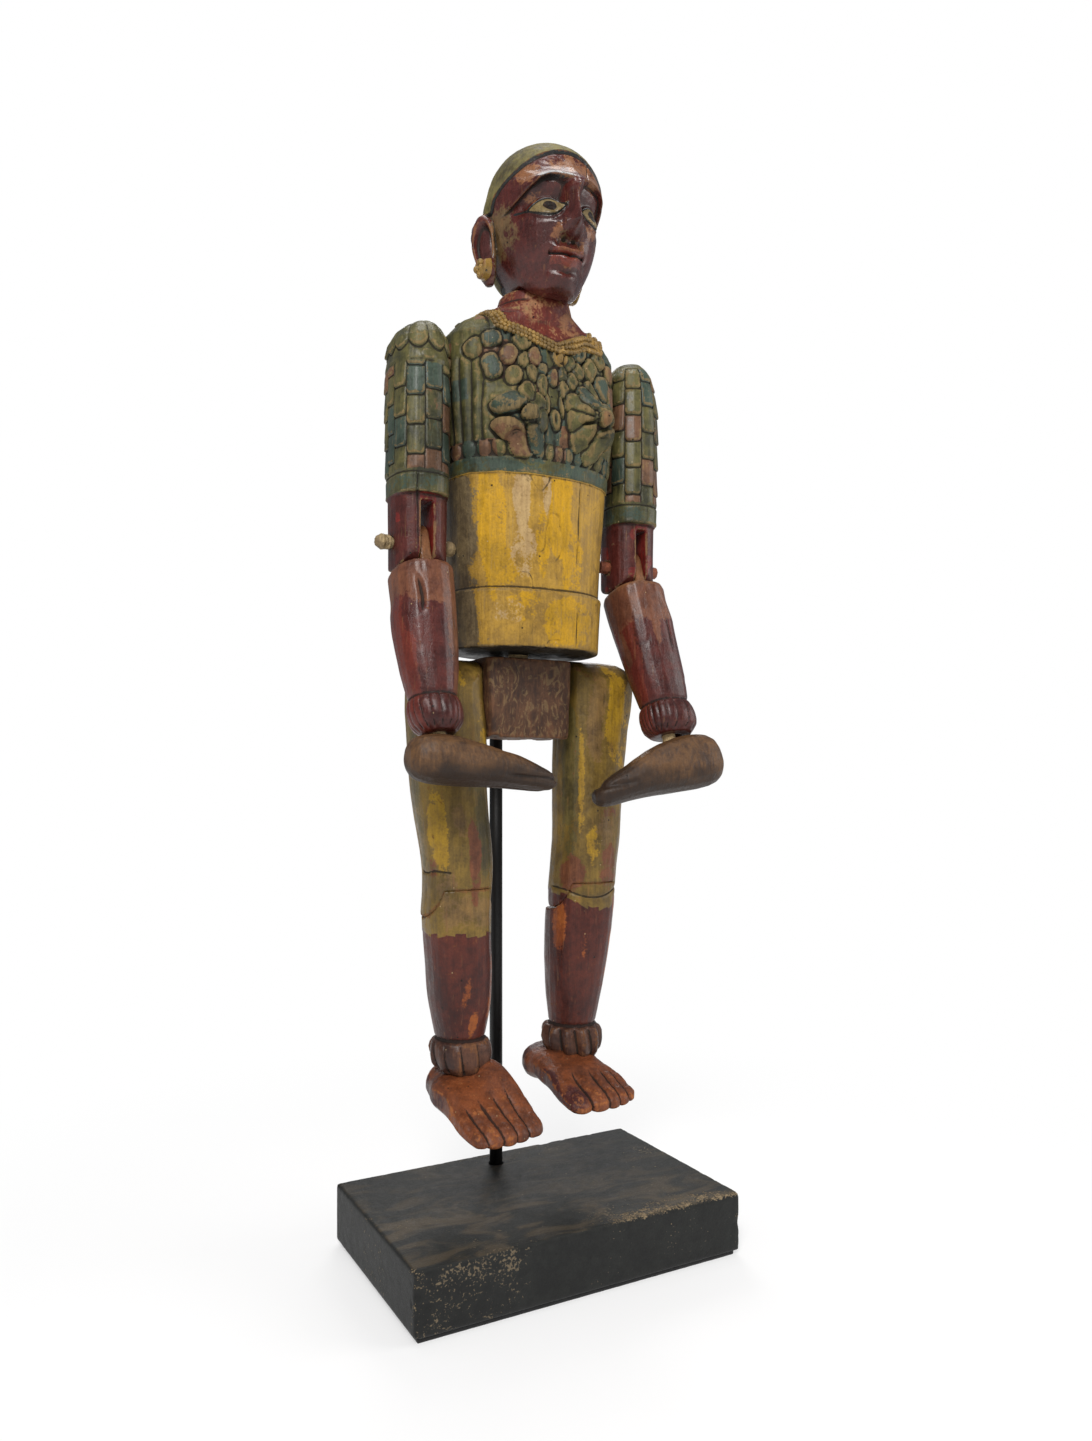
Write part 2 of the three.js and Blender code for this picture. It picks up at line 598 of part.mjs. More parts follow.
// Elbow pins: the right one has a turned knob inside and a whittled cap outside, the left is a plain dowel
const forkHalf = ARM_HALF_WIDTH - 0.5;

function turned(profile, segments) {
  const geometry = new THREE.LatheGeometry(
    profile.map(([radius, along]) => new THREE.Vector2(radius, along)),
    segments,
  );
  geometry.rotateZ(-Math.PI / 2);
  return geometry;
}

function makeElbowPins() {
  const y = ARM_Y;
  const innerFace = forkHalf + GAP;
  const profile = [
    [0, -forkHalf - ELBOW_PIN_IN_CAP],
    [ELBOW_PIN_RADIUS, -forkHalf - ELBOW_PIN_IN_CAP],
    [ELBOW_PIN_RADIUS, innerFace],
    [ELBOW_KNOB_RADIUS * 0.8, innerFace],
    [ELBOW_KNOB_RADIUS, innerFace + 2],
    [ELBOW_KNOB_RADIUS, innerFace + ELBOW_KNOB_LENGTH - 3],
    [ELBOW_KNOB_RADIUS * 0.7, innerFace + ELBOW_KNOB_LENGTH],
    [0, innerFace + ELBOW_KNOB_LENGTH],
  ];
  const pin = turned(profile, 18);
  pin.translate(-ARM_X, y, ELBOW_Z);
  addPiece("elbow_pin_right", solid(pin), paleWood);

  const start = -forkHalf - GAP;
  const capProfile = [
    [0, start - ELBOW_NECK_LENGTH - ELBOW_KNOB_LENGTH],
    [ELBOW_KNOB_RADIUS * 0.6, start - ELBOW_NECK_LENGTH - ELBOW_KNOB_LENGTH],
    [ELBOW_KNOB_RADIUS * 1.05, start - ELBOW_NECK_LENGTH - 4],
    [ELBOW_KNOB_RADIUS * 0.95, start - ELBOW_NECK_LENGTH],
    [ELBOW_KNOB_RADIUS * 0.95, start],
    [0, start],
  ];
  const cap = turned(capProfile, 7);
  cap.translate(-ARM_X, y, ELBOW_Z);
  const capBore = bar(
    "x",
    ELBOW_PIN_RADIUS + PIN_GAP,
    -forkHalf - ELBOW_PIN_IN_CAP - GAP,
    -forkHalf + 5,
    [-ARM_X, y, ELBOW_Z],
  );
  addPiece("elbow_pin_cap_right", solid(cap).subtract(capBore), paleWood);

  const from = ARM_X - ARM_HALF_WIDTH - ELBOW_DOWEL_INSIDE;
  const to = ARM_X + ARM_HALF_WIDTH + ELBOW_DOWEL_OUTSIDE;
  addPiece("elbow_pin_left", bar("x", ELBOW_DOWEL_RADIUS, from, to, [0, y, ELBOW_Z]), paleWood);
}

const forearmRows = [
  [-FOREARM_LENGTH, 0, 0, 14, 16, 2],
  [-FOREARM_LENGTH + 4, 0, 0, 17, 19, 2],
  [-FOREARM_LENGTH + BANGLE_HEIGHT, 0, 0, 17.5, 19.5, 2],
  [-FOREARM_LENGTH + BANGLE_HEIGHT + 6, 0, 0, 18.5, 20, 2],
  [-115, 0, 0, 22, 22, 2.1],
  [-90, 0, 0, 24, 24, 2.2],
  [-60, 0, 0, 25.5, 27, 2.3],
  [-SHOULDER_DROP - 3, 0, 0, 26, 29, 2.4],
  [-SHOULDER_DROP, 0, 0, 25, 28, 2.4],
];

function carveForearm(point, turn, sway) {
  const along = point.z + FOREARM_LENGTH;
  const middle = BANGLE_BOTTOM + BANGLE_HEIGHT / 2;
  const inBangle = Math.abs(along - middle) < BANGLE_HEIGHT / 2;
  const raise = inBangle ? BANGLE_RAISE * Math.cos(((along - middle) / BANGLE_HEIGHT) * Math.PI) ** 0.5 : 0;
  const down = THREE.MathUtils.clamp((-point.z - SHOULDER_DROP) / (FOREARM_LENGTH - SHOULDER_DROP), 0, 1);
  point.x += raise * Math.cos(turn) + sway * down;
  point.y += raise * Math.sin(turn);
}

// Everything below the elbow hangs in a group whose origin is on the elbow pin
function makeForearm(name, side) {
  const group = new THREE.Group();
  group.position.set(side * ARM_X, ARM_Y, ELBOW_Z);
  group.rotation.x = radians(-FOREARM_FLEX[name]);
  figure.add(group);

  const bangle = [0, 3, 7, 12, 17, 22, 26, 29].map((step) => step - FOREARM_LENGTH);
  const heights = [...bangle, ...levels([[-130], [-SHOULDER_DROP - 3]], 6), -SHOULDER_DROP];
  const sway = FOREARM_SWAY[name];
  const body = solid(loft(forearmRows, heights, 18, (point, turn) => carveForearm(point, turn, sway)));
  const halfTongue = FORK_SLOT / 2 - SLIP;
  const tongueBar = bar("x", TONGUE_HALF_DEPTH, -halfTongue, halfTongue, [0, 0, 0], 22);
  const tongueFoot = block(
    [-halfTongue, -TONGUE_HALF_DEPTH, -SHOULDER_DROP - 4],
    [halfTongue, TONGUE_HALF_DEPTH, 0],
  );
  const pinRadius = side < 0 ? ELBOW_PIN_RADIUS : ELBOW_DOWEL_RADIUS;
  const bore = bar("x", pinRadius + PIN_GAP, -30, 30, [0, 0, 0]);
  const pegTop = -FOREARM_LENGTH + WRIST_PEG_DEPTH;
  const pegAt = [sway, 0, 0];
  const pegBore = bar("z", WRIST_PEG_RADIUS + PIN_GAP, -FOREARM_LENGTH - 5, pegTop + GAP, pegAt, 16);
  const forearm = body.add(tongueFoot).add(tongueBar).subtract(bore).subtract(pegBore);
  addPiece(`forearm_${name}`, forearm, redPaint, group);

  const pegLow = -FOREARM_LENGTH - 1 - WRIST_PEG_DEPTH;
  addPiece(`wrist_peg_${name}`, bar("z", WRIST_PEG_RADIUS, pegLow, pegTop, pegAt, 16), paleWood, group);
  makeHand(name, side, group);
}

// Hands: the palm faces down and the fingers point inward, across the body
const handRows = [
  [0, 20, 0, 9, 8, 2],
  [4, 20, 0, 15, 15, 2],
  [16, 20, 0, 19, 20, 2.2],
  [38, 20, 0, 19.5, HAND_HALF_WIDTH, 2.3],
  [58, 21.5, 0, 17.5, HAND_HALF_WIDTH, 2.3],
  [78, 24, 0, 14.5, HAND_HALF_WIDTH - 1.5, 2.3],
  [98, 27.5, 0, 11.5, HAND_HALF_WIDTH - 4, 2.2],
  [116, 30.5, 0, 9, HAND_HALF_WIDTH - 7, 2.1],
  [126, 32, 0, 6.5, HAND_HALF_WIDTH - 12, 2],
  [HAND_LENGTH, 32.5, 0, 3.5, 5, 2],
];

function makeHand(name, side, parent) {
  const group = new THREE.Group();
  group.position.set(FOREARM_SWAY[name], 0, -FOREARM_LENGTH - 1);
  group.rotation.z = radians(side * HAND_SWIVEL[name]) * -1;
  parent.add(group);
  const scale = HAND_THICKNESS[name] / HAND_THICKNESS.right;
  const heights = [0, 2, 5, 10, 18, 28, 40, 54, 68, 82, 96, 108, 118, 125, 128.5, HAND_LENGTH];
  const geometry = loft(handRows, heights, 16);
  geometry.rotateY(Math.PI / 2);
  geometry.scale(1, 1, scale);
  geometry.translate(-HAND_HEEL[name], 0, 0);
  if (side > 0) geometry.rotateZ(Math.PI);
  geometry.rotateY(radians(-side * HAND_DROOP[name]));
  const top = block([-200, -100, -GAP], [200, 100, 60]);
  const pegBore = bar("z", WRIST_PEG_RADIUS + PIN_GAP, -WRIST_PEG_DEPTH - GAP, 5, [0, 0, 0], 16);
  addPiece(`hand_${name}`, solid(geometry).subtract(top).subtract(pegBore), brownWood, group);
}

// Legs
const thighRows = (hipX) => [
  [KNEE_Z - 30, KNEE_X, KNEE_Y - 4, 27, 28, 2.3],
  [KNEE_Z + 5, KNEE_X, KNEE_Y - 4, 28, 28, 2.3],
  [KNEE_Z + 32, KNEE_X + 2, KNEE_Y - 5, 29, 29, 2.3],
  [KNEE_Z + 93, (KNEE_X + hipX) / 2 + 1, HIP_Y - 2, 31, 31, 2.4],
  [HIP_Z - 35, hipX - 1, HIP_Y, 32.5, HIP_ROUND_RADIUS, 2.5],
  [HIP_Z, hipX, HIP_Y, 33, HIP_ROUND_RADIUS, 2.6],
  [HIP_Z + 13, hipX - 1, HIP_Y, 31.5, HIP_ROUND_RADIUS, 2.6],
  [HIP_Z + 23, hipX - 4, HIP_Y, 27, HIP_ROUND_RADIUS, 2.6],
  [HIP_Z + HIP_ROUND_RADIUS, hipX - 8, HIP_Y, 18, HIP_ROUND_RADIUS, 2.6],
];
const thighInner = PELVIS_HALF_WIDTH + 1;

function makeThigh(name, side) {
  const rows = thighRows(HIP_X + side * HIP_SHIFT);
  const geometry = loft(rows, levels(rows, 10, [HIP_Z + 13, HIP_Z + 23]), 20);
  const tilt = side < 0 ? solid(mirrored(geometry)) : solid(geometry);
  const innerReach = [side * -20, side * thighInner];
  const pelvisSide = block(
    [Math.min(...innerReach), -60, PELVIS_BOTTOM_Z - 6],
    [Math.max(...innerReach), 120, HIP_Z + 60],
  );
  const x = side * KNEE_X;
  const slot = block(
    [x - KNEE_SLOT / 2, KNEE_Y - KNEE_TONGUE_RADIUS - SLIP, KNEE_Z - 60],
    [x + KNEE_SLOT / 2, KNEE_Y + 60, KNEE_Z + KNEE_SLOT_ABOVE_PIN],
  );
  const kneeBore = bar("x", KNEE_PIN_RADIUS + PIN_GAP, -KNEE_PIN_HALF - GAP, KNEE_PIN_HALF + GAP, [
    x,
    KNEE_Y,
    KNEE_Z,
  ], 16);
  const hipReach = [side * (thighInner - 5), side * (HIP_PIN_END + GAP)];
  const hipBore = bar("x", HIP_PIN_RADIUS + PIN_GAP, Math.min(...hipReach), Math.max(...hipReach), [
    0,
    HIP_Y,
    HIP_Z,
  ]);
  const thigh = tilt
    .subtract(pastRoundEnd(HIP_ROUND_RADIUS, side * HIP_X, HIP_Y, HIP_Z, 1))
    .subtract(pastRoundEnd(KNEE_ROUND_RADIUS, x, KNEE_Y, KNEE_Z, -1))
    .subtract(pelvisSide)
    .subtract(slot)
    .subtract(kneeBore)
    .subtract(hipBore);
  addPiece(`thigh_${name}`, thigh, legPaint);
  const pin = bar("x", KNEE_PIN_RADIUS, -KNEE_PIN_HALF, KNEE_PIN_HALF, [x, KNEE_Y, KNEE_Z], 16);
  addPiece(`knee_pin_${name}`, pin, paleWood);
}

// The same shape on the other side of the body, with its faces still outward
function mirrored(geometry) {
  const other = geometry.clone();
  other.scale(-1, 1, 1);
  const flipped = other.index.array.slice();
  for (let i = 0; i < flipped.length; i += 3) {
    [flipped[i], flipped[i + 1]] = [flipped[i + 1], flipped[i]];
  }
  other.setIndex(new THREE.BufferAttribute(flipped, 1));
  return other;
}

const ankletTop = ANKLE_Z + ANKLET_HEIGHT;
const shinRows = [
  [ANKLE_Z, ANKLE_X, ANKLE_Y, 18, 20, 2],
  [ANKLE_Z + 4, ANKLE_X, ANKLE_Y, 20, 22, 2],
  [ankletTop, ANKLE_X + 0.5, ANKLE_Y, 21, 23, 2],
  [ankletTop + 22, ANKLE_X + 2, ANKLE_Y - 1, 23, 26, 2.2],
  [KNEE_Z - 68, ANKLE_X + 5, KNEE_Y - 3, 25.5, 29, 2.3],
  [KNEE_Z - 33, KNEE_X - 2, KNEE_Y - 4, 27, 29, 2.3],
  [KNEE_Z, KNEE_X, KNEE_Y - 4, 28, 28, 2.3],
];

function carveShin(point, turn) {
  const middle = ANKLE_Z + ANKLET_HEIGHT / 2;
  const away = Math.abs(point.z - middle) / (ANKLET_HEIGHT / 2);
  if (away >= 1) return;
  const lobes = 1 + 0.25 * Math.cos(turn * ANKLET_LOBES);
  const raise = ANKLET_RAISE * lobes * Math.sqrt(1 - away * away);
  point.x += raise * Math.cos(turn);
  point.y += raise * Math.sin(turn);
}

function makeShin(name, side) {
  const anklet = [0, 0.06, 0.25, 0.5, 0.75, 0.94, 1.02].map((share) => ANKLE_Z + share * ANKLET_HEIGHT);
  const heights = [...anklet, ...levels([[ankletTop + 12], [KNEE_Z - 22]], 4), KNEE_Z - 2 * GAP];
  const geometry = loft(shinRows, heights, 2 * ANKLET_LOBES, carveShin);
  const body = side < 0 ? solid(mirrored(geometry)) : solid(geometry);
  const x = side * KNEE_X;
  const reach = 60;
  const kneeSpace = bar("x", KNEE_ROUND_RADIUS + SLIP, -reach, reach, [x, KNEE_Y, KNEE_Z], 28);
  const behind = block(
    [x - reach, KNEE_Y, KNEE_Z - KNEE_ROUND_RADIUS - SLIP - 0.5],
    [x + reach, KNEE_Y + reach, KNEE_Z + reach],
  );
  const half = KNEE_SLOT / 2 - SLIP;
  const tongue = block(
    [x - half, KNEE_Y - KNEE_TONGUE_RADIUS, KNEE_Z - KNEE_ROUND_RADIUS - 8],
    [x + half, KNEE_Y + KNEE_TONGUE_RADIUS, KNEE_Z],
  ).add(bar("x", KNEE_TONGUE_RADIUS, -half, half, [x, KNEE_Y, KNEE_Z], 22));
  const pinBore = bar("x", KNEE_PIN_RADIUS + PIN_GAP, -30, 30, [x, KNEE_Y, KNEE_Z], 16);
  const dowelAt = [side * ANKLE_X, ANKLE_Y, 0];
  const dowelTop = ANKLE_Z + ANKLE_DOWEL_DEPTH;
  const dowelBore = bar("z", ANKLE_DOWEL_RADIUS + PIN_GAP, ANKLE_Z - 5, dowelTop + GAP, dowelAt, 16);
  const shin = body.subtract(kneeSpace).subtract(behind).add(tongue).subtract(pinBore).subtract(dowelBore);
  addPiece(`shin_${name}`, shin, maroonPaint);
  const dowel = bar("z", ANKLE_DOWEL_RADIUS, ANKLE_Z - ANKLE_DOWEL_DEPTH, dowelTop, dowelAt, 16);
  addPiece(`ankle_dowel_${name}`, dowel, paleWood);
}

// Feet: rows run from the heel to the toes, as height, sideways, half height, half width
const footRows = [
  [0, -12, 0, 5, 12, 2],
  [6, -11, 0, 11, 20, 2.2],
  [20, -13, 0, 13, 25, 2.4],
  [42, -13, 0, 13, 27, 2.5],
  [60, -8.5, 0, 11.5, 28, 2.5],
  [80, -3, 0, 10, FOOT_HALF_WIDTH - 1, 2.5],
  [98, 1.5, 0, 8, FOOT_HALF_WIDTH, 2.4],
  [107, 3.5, 0, 6.5, FOOT_HALF_WIDTH - 3, 2.3],
  [FOOT_LENGTH, 5, 0, 3, FOOT_HALF_WIDTH - 12, 2],
];
const TOE_GROOVE = 1.4;
const TOE_LENGTH = 27;

// Turns the toes towards the figure's left, round the ankle
function turnFoot(geometry, name, side) {
  geometry.translate(-side * ANKLE_X, -ANKLE_Y, 0);
  geometry.rotateZ(radians(FOOT_TURN[name]));
  geometry.translate(side * ANKLE_X, ANKLE_Y, 0);
}

function makeFoot(name, side) {
  const heights = [0, 3, 8, 16, 29, 42, 55, 68, 82, 96, 104, 109, FOOT_LENGTH];
  const geometry = loft(footRows, heights, 18);
  geometry.rotateY(Math.PI / 2);
  geometry.rotateZ(-Math.PI / 2);
  geometry.rotateX(radians(FOOT_POINT[name]) * 0.5);
  geometry.translate(FOOT_X[name], FOOT_HEEL_Y[name], SOLE_Z[name]);
  turnFoot(geometry, name, side);
  let foot = solid(geometry);
  const toeY = FOOT_HEEL_Y[name] - FOOT_LENGTH;
  [0.3, 0.5, 0.68, 0.85].forEach((share) => {
    const across = side * (share * 2 * FOOT_HALF_WIDTH - FOOT_HALF_WIDTH);
    const groove = new THREE.BoxGeometry(TOE_GROOVE, TOE_LENGTH, 40);
    groove.rotateX(radians(-14));
    groove.translate(FOOT_X[name] + across * 0.92, toeY + TOE_LENGTH / 2 - 5, SOLE_Z[name] + 11.5);
    turnFoot(groove, name, side);
    foot = foot.subtract(solid(groove));
  });
  const above = block([-200, -100, ANKLE_Z - GAP], [200, 100, ANKLE_Z + 40]);
  const dowelBore = bar(
    "z",
    ANKLE_DOWEL_RADIUS + PIN_GAP,
    ANKLE_Z - ANKLE_DOWEL_DEPTH - GAP,
    ANKLE_Z + 5,
    [side * ANKLE_X, ANKLE_Y, 0],
    16,
  );
  addPiece(`foot_${name}`, foot.subtract(above).subtract(dowelBore), footWood);
}

function makeHipPin() {
  const pin = bar("x", HIP_PIN_RADIUS, -HIP_PIN_END, HIP_PIN_END, [0, HIP_Y, HIP_Z]);
  addPiece("hip_pin", pin, paleWood);
}

makeStand();
makeTrunk();
makeHead();
Object.entries(SIDES).forEach(([name, side]) => {
  makeUpperArm(name, side);
  makeShoulderPeg(name, side);
  makeForearm(name, side);
  makeThigh(name, side);
  makeShin(name, side);
  makeFoot(name, side);
});
makeElbowPins();
makeHipPin();

export default puppet;
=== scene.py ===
"""Looks of a jointed wooden puppet on its stand: carved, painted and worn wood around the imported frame."""

import json
import math

import bmesh
import bpy
import numpy as np
from bpy.props import FloatProperty, FloatVectorProperty, IntProperty, PointerProperty
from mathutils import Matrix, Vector
from mathutils.bvhtree import BVHTree


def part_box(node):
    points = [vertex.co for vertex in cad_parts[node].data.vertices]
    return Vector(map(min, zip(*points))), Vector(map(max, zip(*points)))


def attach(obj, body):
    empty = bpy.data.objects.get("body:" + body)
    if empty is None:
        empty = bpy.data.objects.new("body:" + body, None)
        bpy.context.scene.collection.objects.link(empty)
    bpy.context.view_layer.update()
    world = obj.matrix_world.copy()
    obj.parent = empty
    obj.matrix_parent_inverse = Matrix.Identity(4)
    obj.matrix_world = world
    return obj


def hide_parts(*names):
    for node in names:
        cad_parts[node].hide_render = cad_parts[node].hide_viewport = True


bl_info = {
    "name": "Jointed wooden puppet",
    "version": (1, 0, 0),
    "blender": (4, 5, 0),
    "location": "View3D > Sidebar > Puppet",
    "description": "Builds the carved and painted surfaces of a jointed wooden puppet on a stand",
    "category": "Object",
}

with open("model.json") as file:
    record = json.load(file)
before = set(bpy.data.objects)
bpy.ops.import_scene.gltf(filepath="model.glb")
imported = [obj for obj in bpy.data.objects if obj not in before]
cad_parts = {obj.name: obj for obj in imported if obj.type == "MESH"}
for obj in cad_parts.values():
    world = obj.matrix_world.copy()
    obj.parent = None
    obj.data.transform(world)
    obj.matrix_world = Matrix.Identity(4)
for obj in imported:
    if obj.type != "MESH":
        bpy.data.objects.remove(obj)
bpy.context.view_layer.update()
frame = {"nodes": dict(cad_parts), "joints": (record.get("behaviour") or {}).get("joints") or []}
NODES = frame["nodes"]
MM = 0.001
SIDES = {"right": -1, "left": 1}
JOINTS = {joint["name"]: joint for joint in frame["joints"]}


def joint_place(name):
    """Where a joint's axis passes, in millimetres."""
    return np.array(JOINTS[name]["pos_m"]) * 1000


def node_box(name):
    """A node's lowest and highest corners, in millimetres."""
    low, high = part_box(name)
    return np.array(low) * 1000, np.array(high) * 1000


def linear(text):
    """A screen colour such as 5b2a22 as linear red, green and blue."""
    parts = [int(text[i : i + 2], 16) / 255 for i in (0, 2, 4)]
    return tuple(p / 12.92 if p <= 0.04045 else ((p + 0.055) / 1.055) ** 2.4 for p in parts)


COLOURS = {
    "skin": "50201a",
    "skin_dark": "32110e",
    "skin_red": "63261a",
    "ochre": "7c5233",
    "tan": "86704a",
    "pale": "a58e68",
    "hair": "6f6638",
    "hair_dark": "3c3620",
    "blouse": "5a552f",
    "blouse_dark": "2a2b1b",
    "blouse_blue": "3d4a3e",
    "blouse_brown": "6f4f38",
    "yellow": "b5880f",
    "yellow_dark": "94700f",
    "belly": "a8822e",
    "belly_dark": "7c5f28",
    "olive_dark": "342c1a",
    "maroon": "55251a",
    "maroon_dark": "331410",
    "foot": "7c4222",
    "foot_dark": "4f2a19",
    "brown": "60402a",
    "brown_dark": "2f1d14",
    "gold": "98773a",
    "black": "171816",
    "chip": "8f7d62",
}


def colour_property(key):
    name = key.replace("_", " ").capitalize()
    return FloatVectorProperty(
        name=name,
        description=f"{name} of the puppet",
        default=linear(COLOURS[key]),
        subtype="COLOR",
        min=0,
        max=1,
    )


class PuppetColours(bpy.types.PropertyGroup):
    """Paints and woods of the puppet."""

    __annotations__ = {key: colour_property(key) for key in COLOURS}


class PuppetCarving(bpy.types.PropertyGroup):
    """Sizes of the carving."""

    tile_height: FloatProperty(
        name="Tile height", description="Height of one sleeve tile in mm", default=24.0, min=4, max=60
    )
    tile_columns: IntProperty(
        name="Tile columns", description="Columns of tiles round a sleeve", default=12, min=4, max=40
    )
    tile_depth: FloatProperty(
        name="Tile depth", description="How proud the tiles stand in mm", default=2.4, min=0, max=6
    )
    leaf_depth: FloatProperty(
        name="Leaf depth", description="How proud the blouse leaves stand in mm", default=2.6, min=0, max=6
    )
    bead_radius: FloatProperty(
        name="Bead radius", description="Radius of a necklace bead in mm", default=2.1, min=0.5, max=8
    )
    knife_depth: FloatProperty(
        name="Knife marks", description="Depth of the tool marks in mm", default=0.4, min=0, max=3
    )


class PuppetView(bpy.types.PropertyGroup):
    """The photograph's camera: a level view with the lens shifted."""

    place: FloatVectorProperty(
        name="Place", description="Camera position in mm", default=(-422.3, -786.9, 412.0), size=3
    )
    turn: FloatProperty(
        name="Turn", description="Turn from the +Y direction, in degrees", default=28.8, min=-180, max=180
    )
    focal: FloatProperty(name="Focal length", description="Focal length in pixels", default=1020, min=100)
    horizon: FloatProperty(name="Horizon", description="Row of the horizon in pixels", default=779, min=0)


PICTURE_HEIGHT = 1441
UP = np.array([0.0, 0.0, 1.0])
BACK = np.array([0.0, 1.0, 0.0])
RIGHT_TO_LEFT = np.array([1.0, 0.0, 0.0])
FRONT = -BACK
ALONG_GRAIN = np.array([1, 1, 0.3])


# Noise and shapes over arrays of points


def lattice(cells, seed):
    """A random number from 0 to 1 for each whole-numbered cell."""
    mixed = (cells.astype(np.int64) * np.array([73856093, 19349663, 83492791])).sum(-1) + seed * 2654435
    mixed = (mixed ^ (mixed >> 13)) * 1274126177
    mixed = (mixed ^ (mixed >> 16)) & 0xFFFFFF
    return mixed / 0xFFFFFF


def noise(points, size, seed=0):
    """Smooth noise from -1 to 1, with features about as large as size in mm."""
    scaled = points / size
    base = np.floor(scaled)
    part = scaled - base
    part = part * part * (3 - 2 * part)
    total = 0
    for corner in np.ndindex(2, 2, 2):
        corner = np.array(corner)
        weight = np.prod(np.where(corner == 1, part, 1 - part), axis=-1)
        total = total + weight * lattice(base + corner, seed)
    return 2 * total - 1


def layered(points, size, seed=0, layers=3):
    total = 0
    for i in range(layers):
        total = total + noise(points, size / 2**i, seed + 17 * i) / 2**i
    return total / 1.75


def bump(distance, spread):
    return np.exp(-((distance / spread) ** 2))


def ramp(value, low, high):
    share = np.clip((value - low) / (high - low), 0, 1)
    return share * share * (3 - 2 * share)


def window(value, low, high, soft):
    return ramp(value, low - soft, low + soft) * (1 - ramp(value, high - soft, high + soft))


def dome(distance):
    """1 at distance 0, falling as a ball does to 0 at distance 1."""
    return np.sqrt(np.clip(1 - distance**2, 0, 1))


def turned(across, up, place, sizes, lean):
    """Distance from an oval's centre, where 1 is its edge. lean is in degrees."""
    c, s = math.cos(math.radians(lean)), math.sin(math.radians(lean))
    dx = across - place[0]
    dz = up - place[1]
    return np.hypot((dx * c + dz * s) / sizes[0], (dz * c - dx * s) / sizes[1])


def patches(across, up, rough, rows, inner=0.7):
    """Ragged ovals of paint: each row is place across, height, half width, half height and strength."""
    total = np.zeros(len(up))
    for x, z, half_width, half_height, strength in rows:
        away = turned(across, up, (x, z), (half_width, half_height), 0) + 0.4 * rough
        total = np.maximum(total, strength * (1 - ramp(away, inner, 1.85 - inner)))
    return total


# Meshes


def new_object(name, data):
    piece = bpy.data.objects.new(name, data)
    bpy.context.scene.collection.objects.link(piece)
    return piece


def bake(piece):
    """The piece as its modifiers show it, as a plain mesh."""
    graph = bpy.context.evaluated_depsgraph_get()
    made = bpy.data.meshes.new_from_object(piece.evaluated_get(graph))
    piece.modifiers.clear()
    piece.data = made
    return piece


def fine_copy(node, name, voxel, smoothing):
    """A fine, evenly meshed and slightly rounded copy of a node. Sizes in mm."""
    mesh = NODES[node].data.copy()
    mesh.materials.clear()
    work = bmesh.new()
    work.from_mesh(mesh)
    bmesh.ops.remove_doubles(work, verts=work.verts, dist=1e-6)
    work.to_mesh(mesh)
    work.free()
    piece = new_object(name, mesh)
    remesh = piece.modifiers.new("Even", "REMESH")
    remesh.mode = "VOXEL"
    remesh.voxel_size = voxel * MM
    remesh.use_smooth_shade = True
    soften = piece.modifiers.new("Soften", "SMOOTH")
    soften.factor = 0.5
    soften.iterations = smoothing
    return bake(piece)


def spread_out(mesh, points, rounds):
    """The points after each has moved to the middle of its neighbours that many times."""
    pairs = np.empty(len(mesh.edges) * 2, np.int32)
    mesh.edges.foreach_get("vertices", pairs)
    first, second = pairs.reshape(-1, 2).T
    count = len(points)
    shares = np.maximum(np.bincount(first, minlength=count) + np.bincount(second, minlength=count), 1)
    for _ in range(rounds):
        sums = [
            np.bincount(first, points[second, k], count) + np.bincount(second, points[first, k], count)
            for k in range(3)
        ]
        points = np.stack(sums, -1) / shares[:, None]
    return points


class Surface:
    """The points and normals of a piece in mm, for carving."""

    def __init__(self, piece):
        self.piece = piece
        self.points = self._read("vertices", "co") / MM
        self.normals = self._read("vertex_normals", "vector")
        self.depth = np.zeros(len(self.points))
        self.push = np.zeros_like(self.points)
        self.masks = {}

    def _read(self, layer, key):
        values = getattr(self.piece.data, layer)
        flat = np.empty(len(values) * 3, np.float32)
        values.foreach_get(key, flat)
        return flat.reshape(-1, 3).astype(np.float64)

    def carve(self, depth):
        """Raises the surface where depth is positive, in mm."""
        self.depth += depth

    def shove(self, way, amount):
        """Moves the surface one way, in mm."""
        self.push += np.outer(amount, way)

    def mask(self, name, values):
        self.masks[name] = np.clip(values, 0, 1)

    def finish(self):
        """Moves the points, and keeps the masks and where the carving is hollow or stands out."""
        mesh = self.piece.data
        moved = self.points + self.normals * self.depth[:, None] + self.push
        mesh.vertices.foreach_set("co", (moved * MM).astype(np.float32).ravel())
        mesh.update()
        outward = self._read("vertex_normals", "vector")
        sunk = ((spread_out(mesh, moved, 5) - moved) * outward).sum(-1)
        self.mask("hollow", 0.5 + 0.6 * sunk)
        for name, values in self.masks.items():
            layer = mesh.attributes.new(name, "FLOAT", "POINT")
            layer.data.foreach_set("value", values.astype(np.float32))
        mesh.shade_smooth()
        return self.piece


def carving():
    return bpy.context.scene.puppet_carving


def knife_marks(surface, share, seed):
    depth = share * carving().knife_depth
    stretched = surface.points * ALONG_GRAIN
    surface.carve(depth * layered(stretched, 14, seed))
    surface.carve(-0.8 * depth * ramp(noise(stretched, 5, seed + 5), 0.5, 0.9))


# Materials


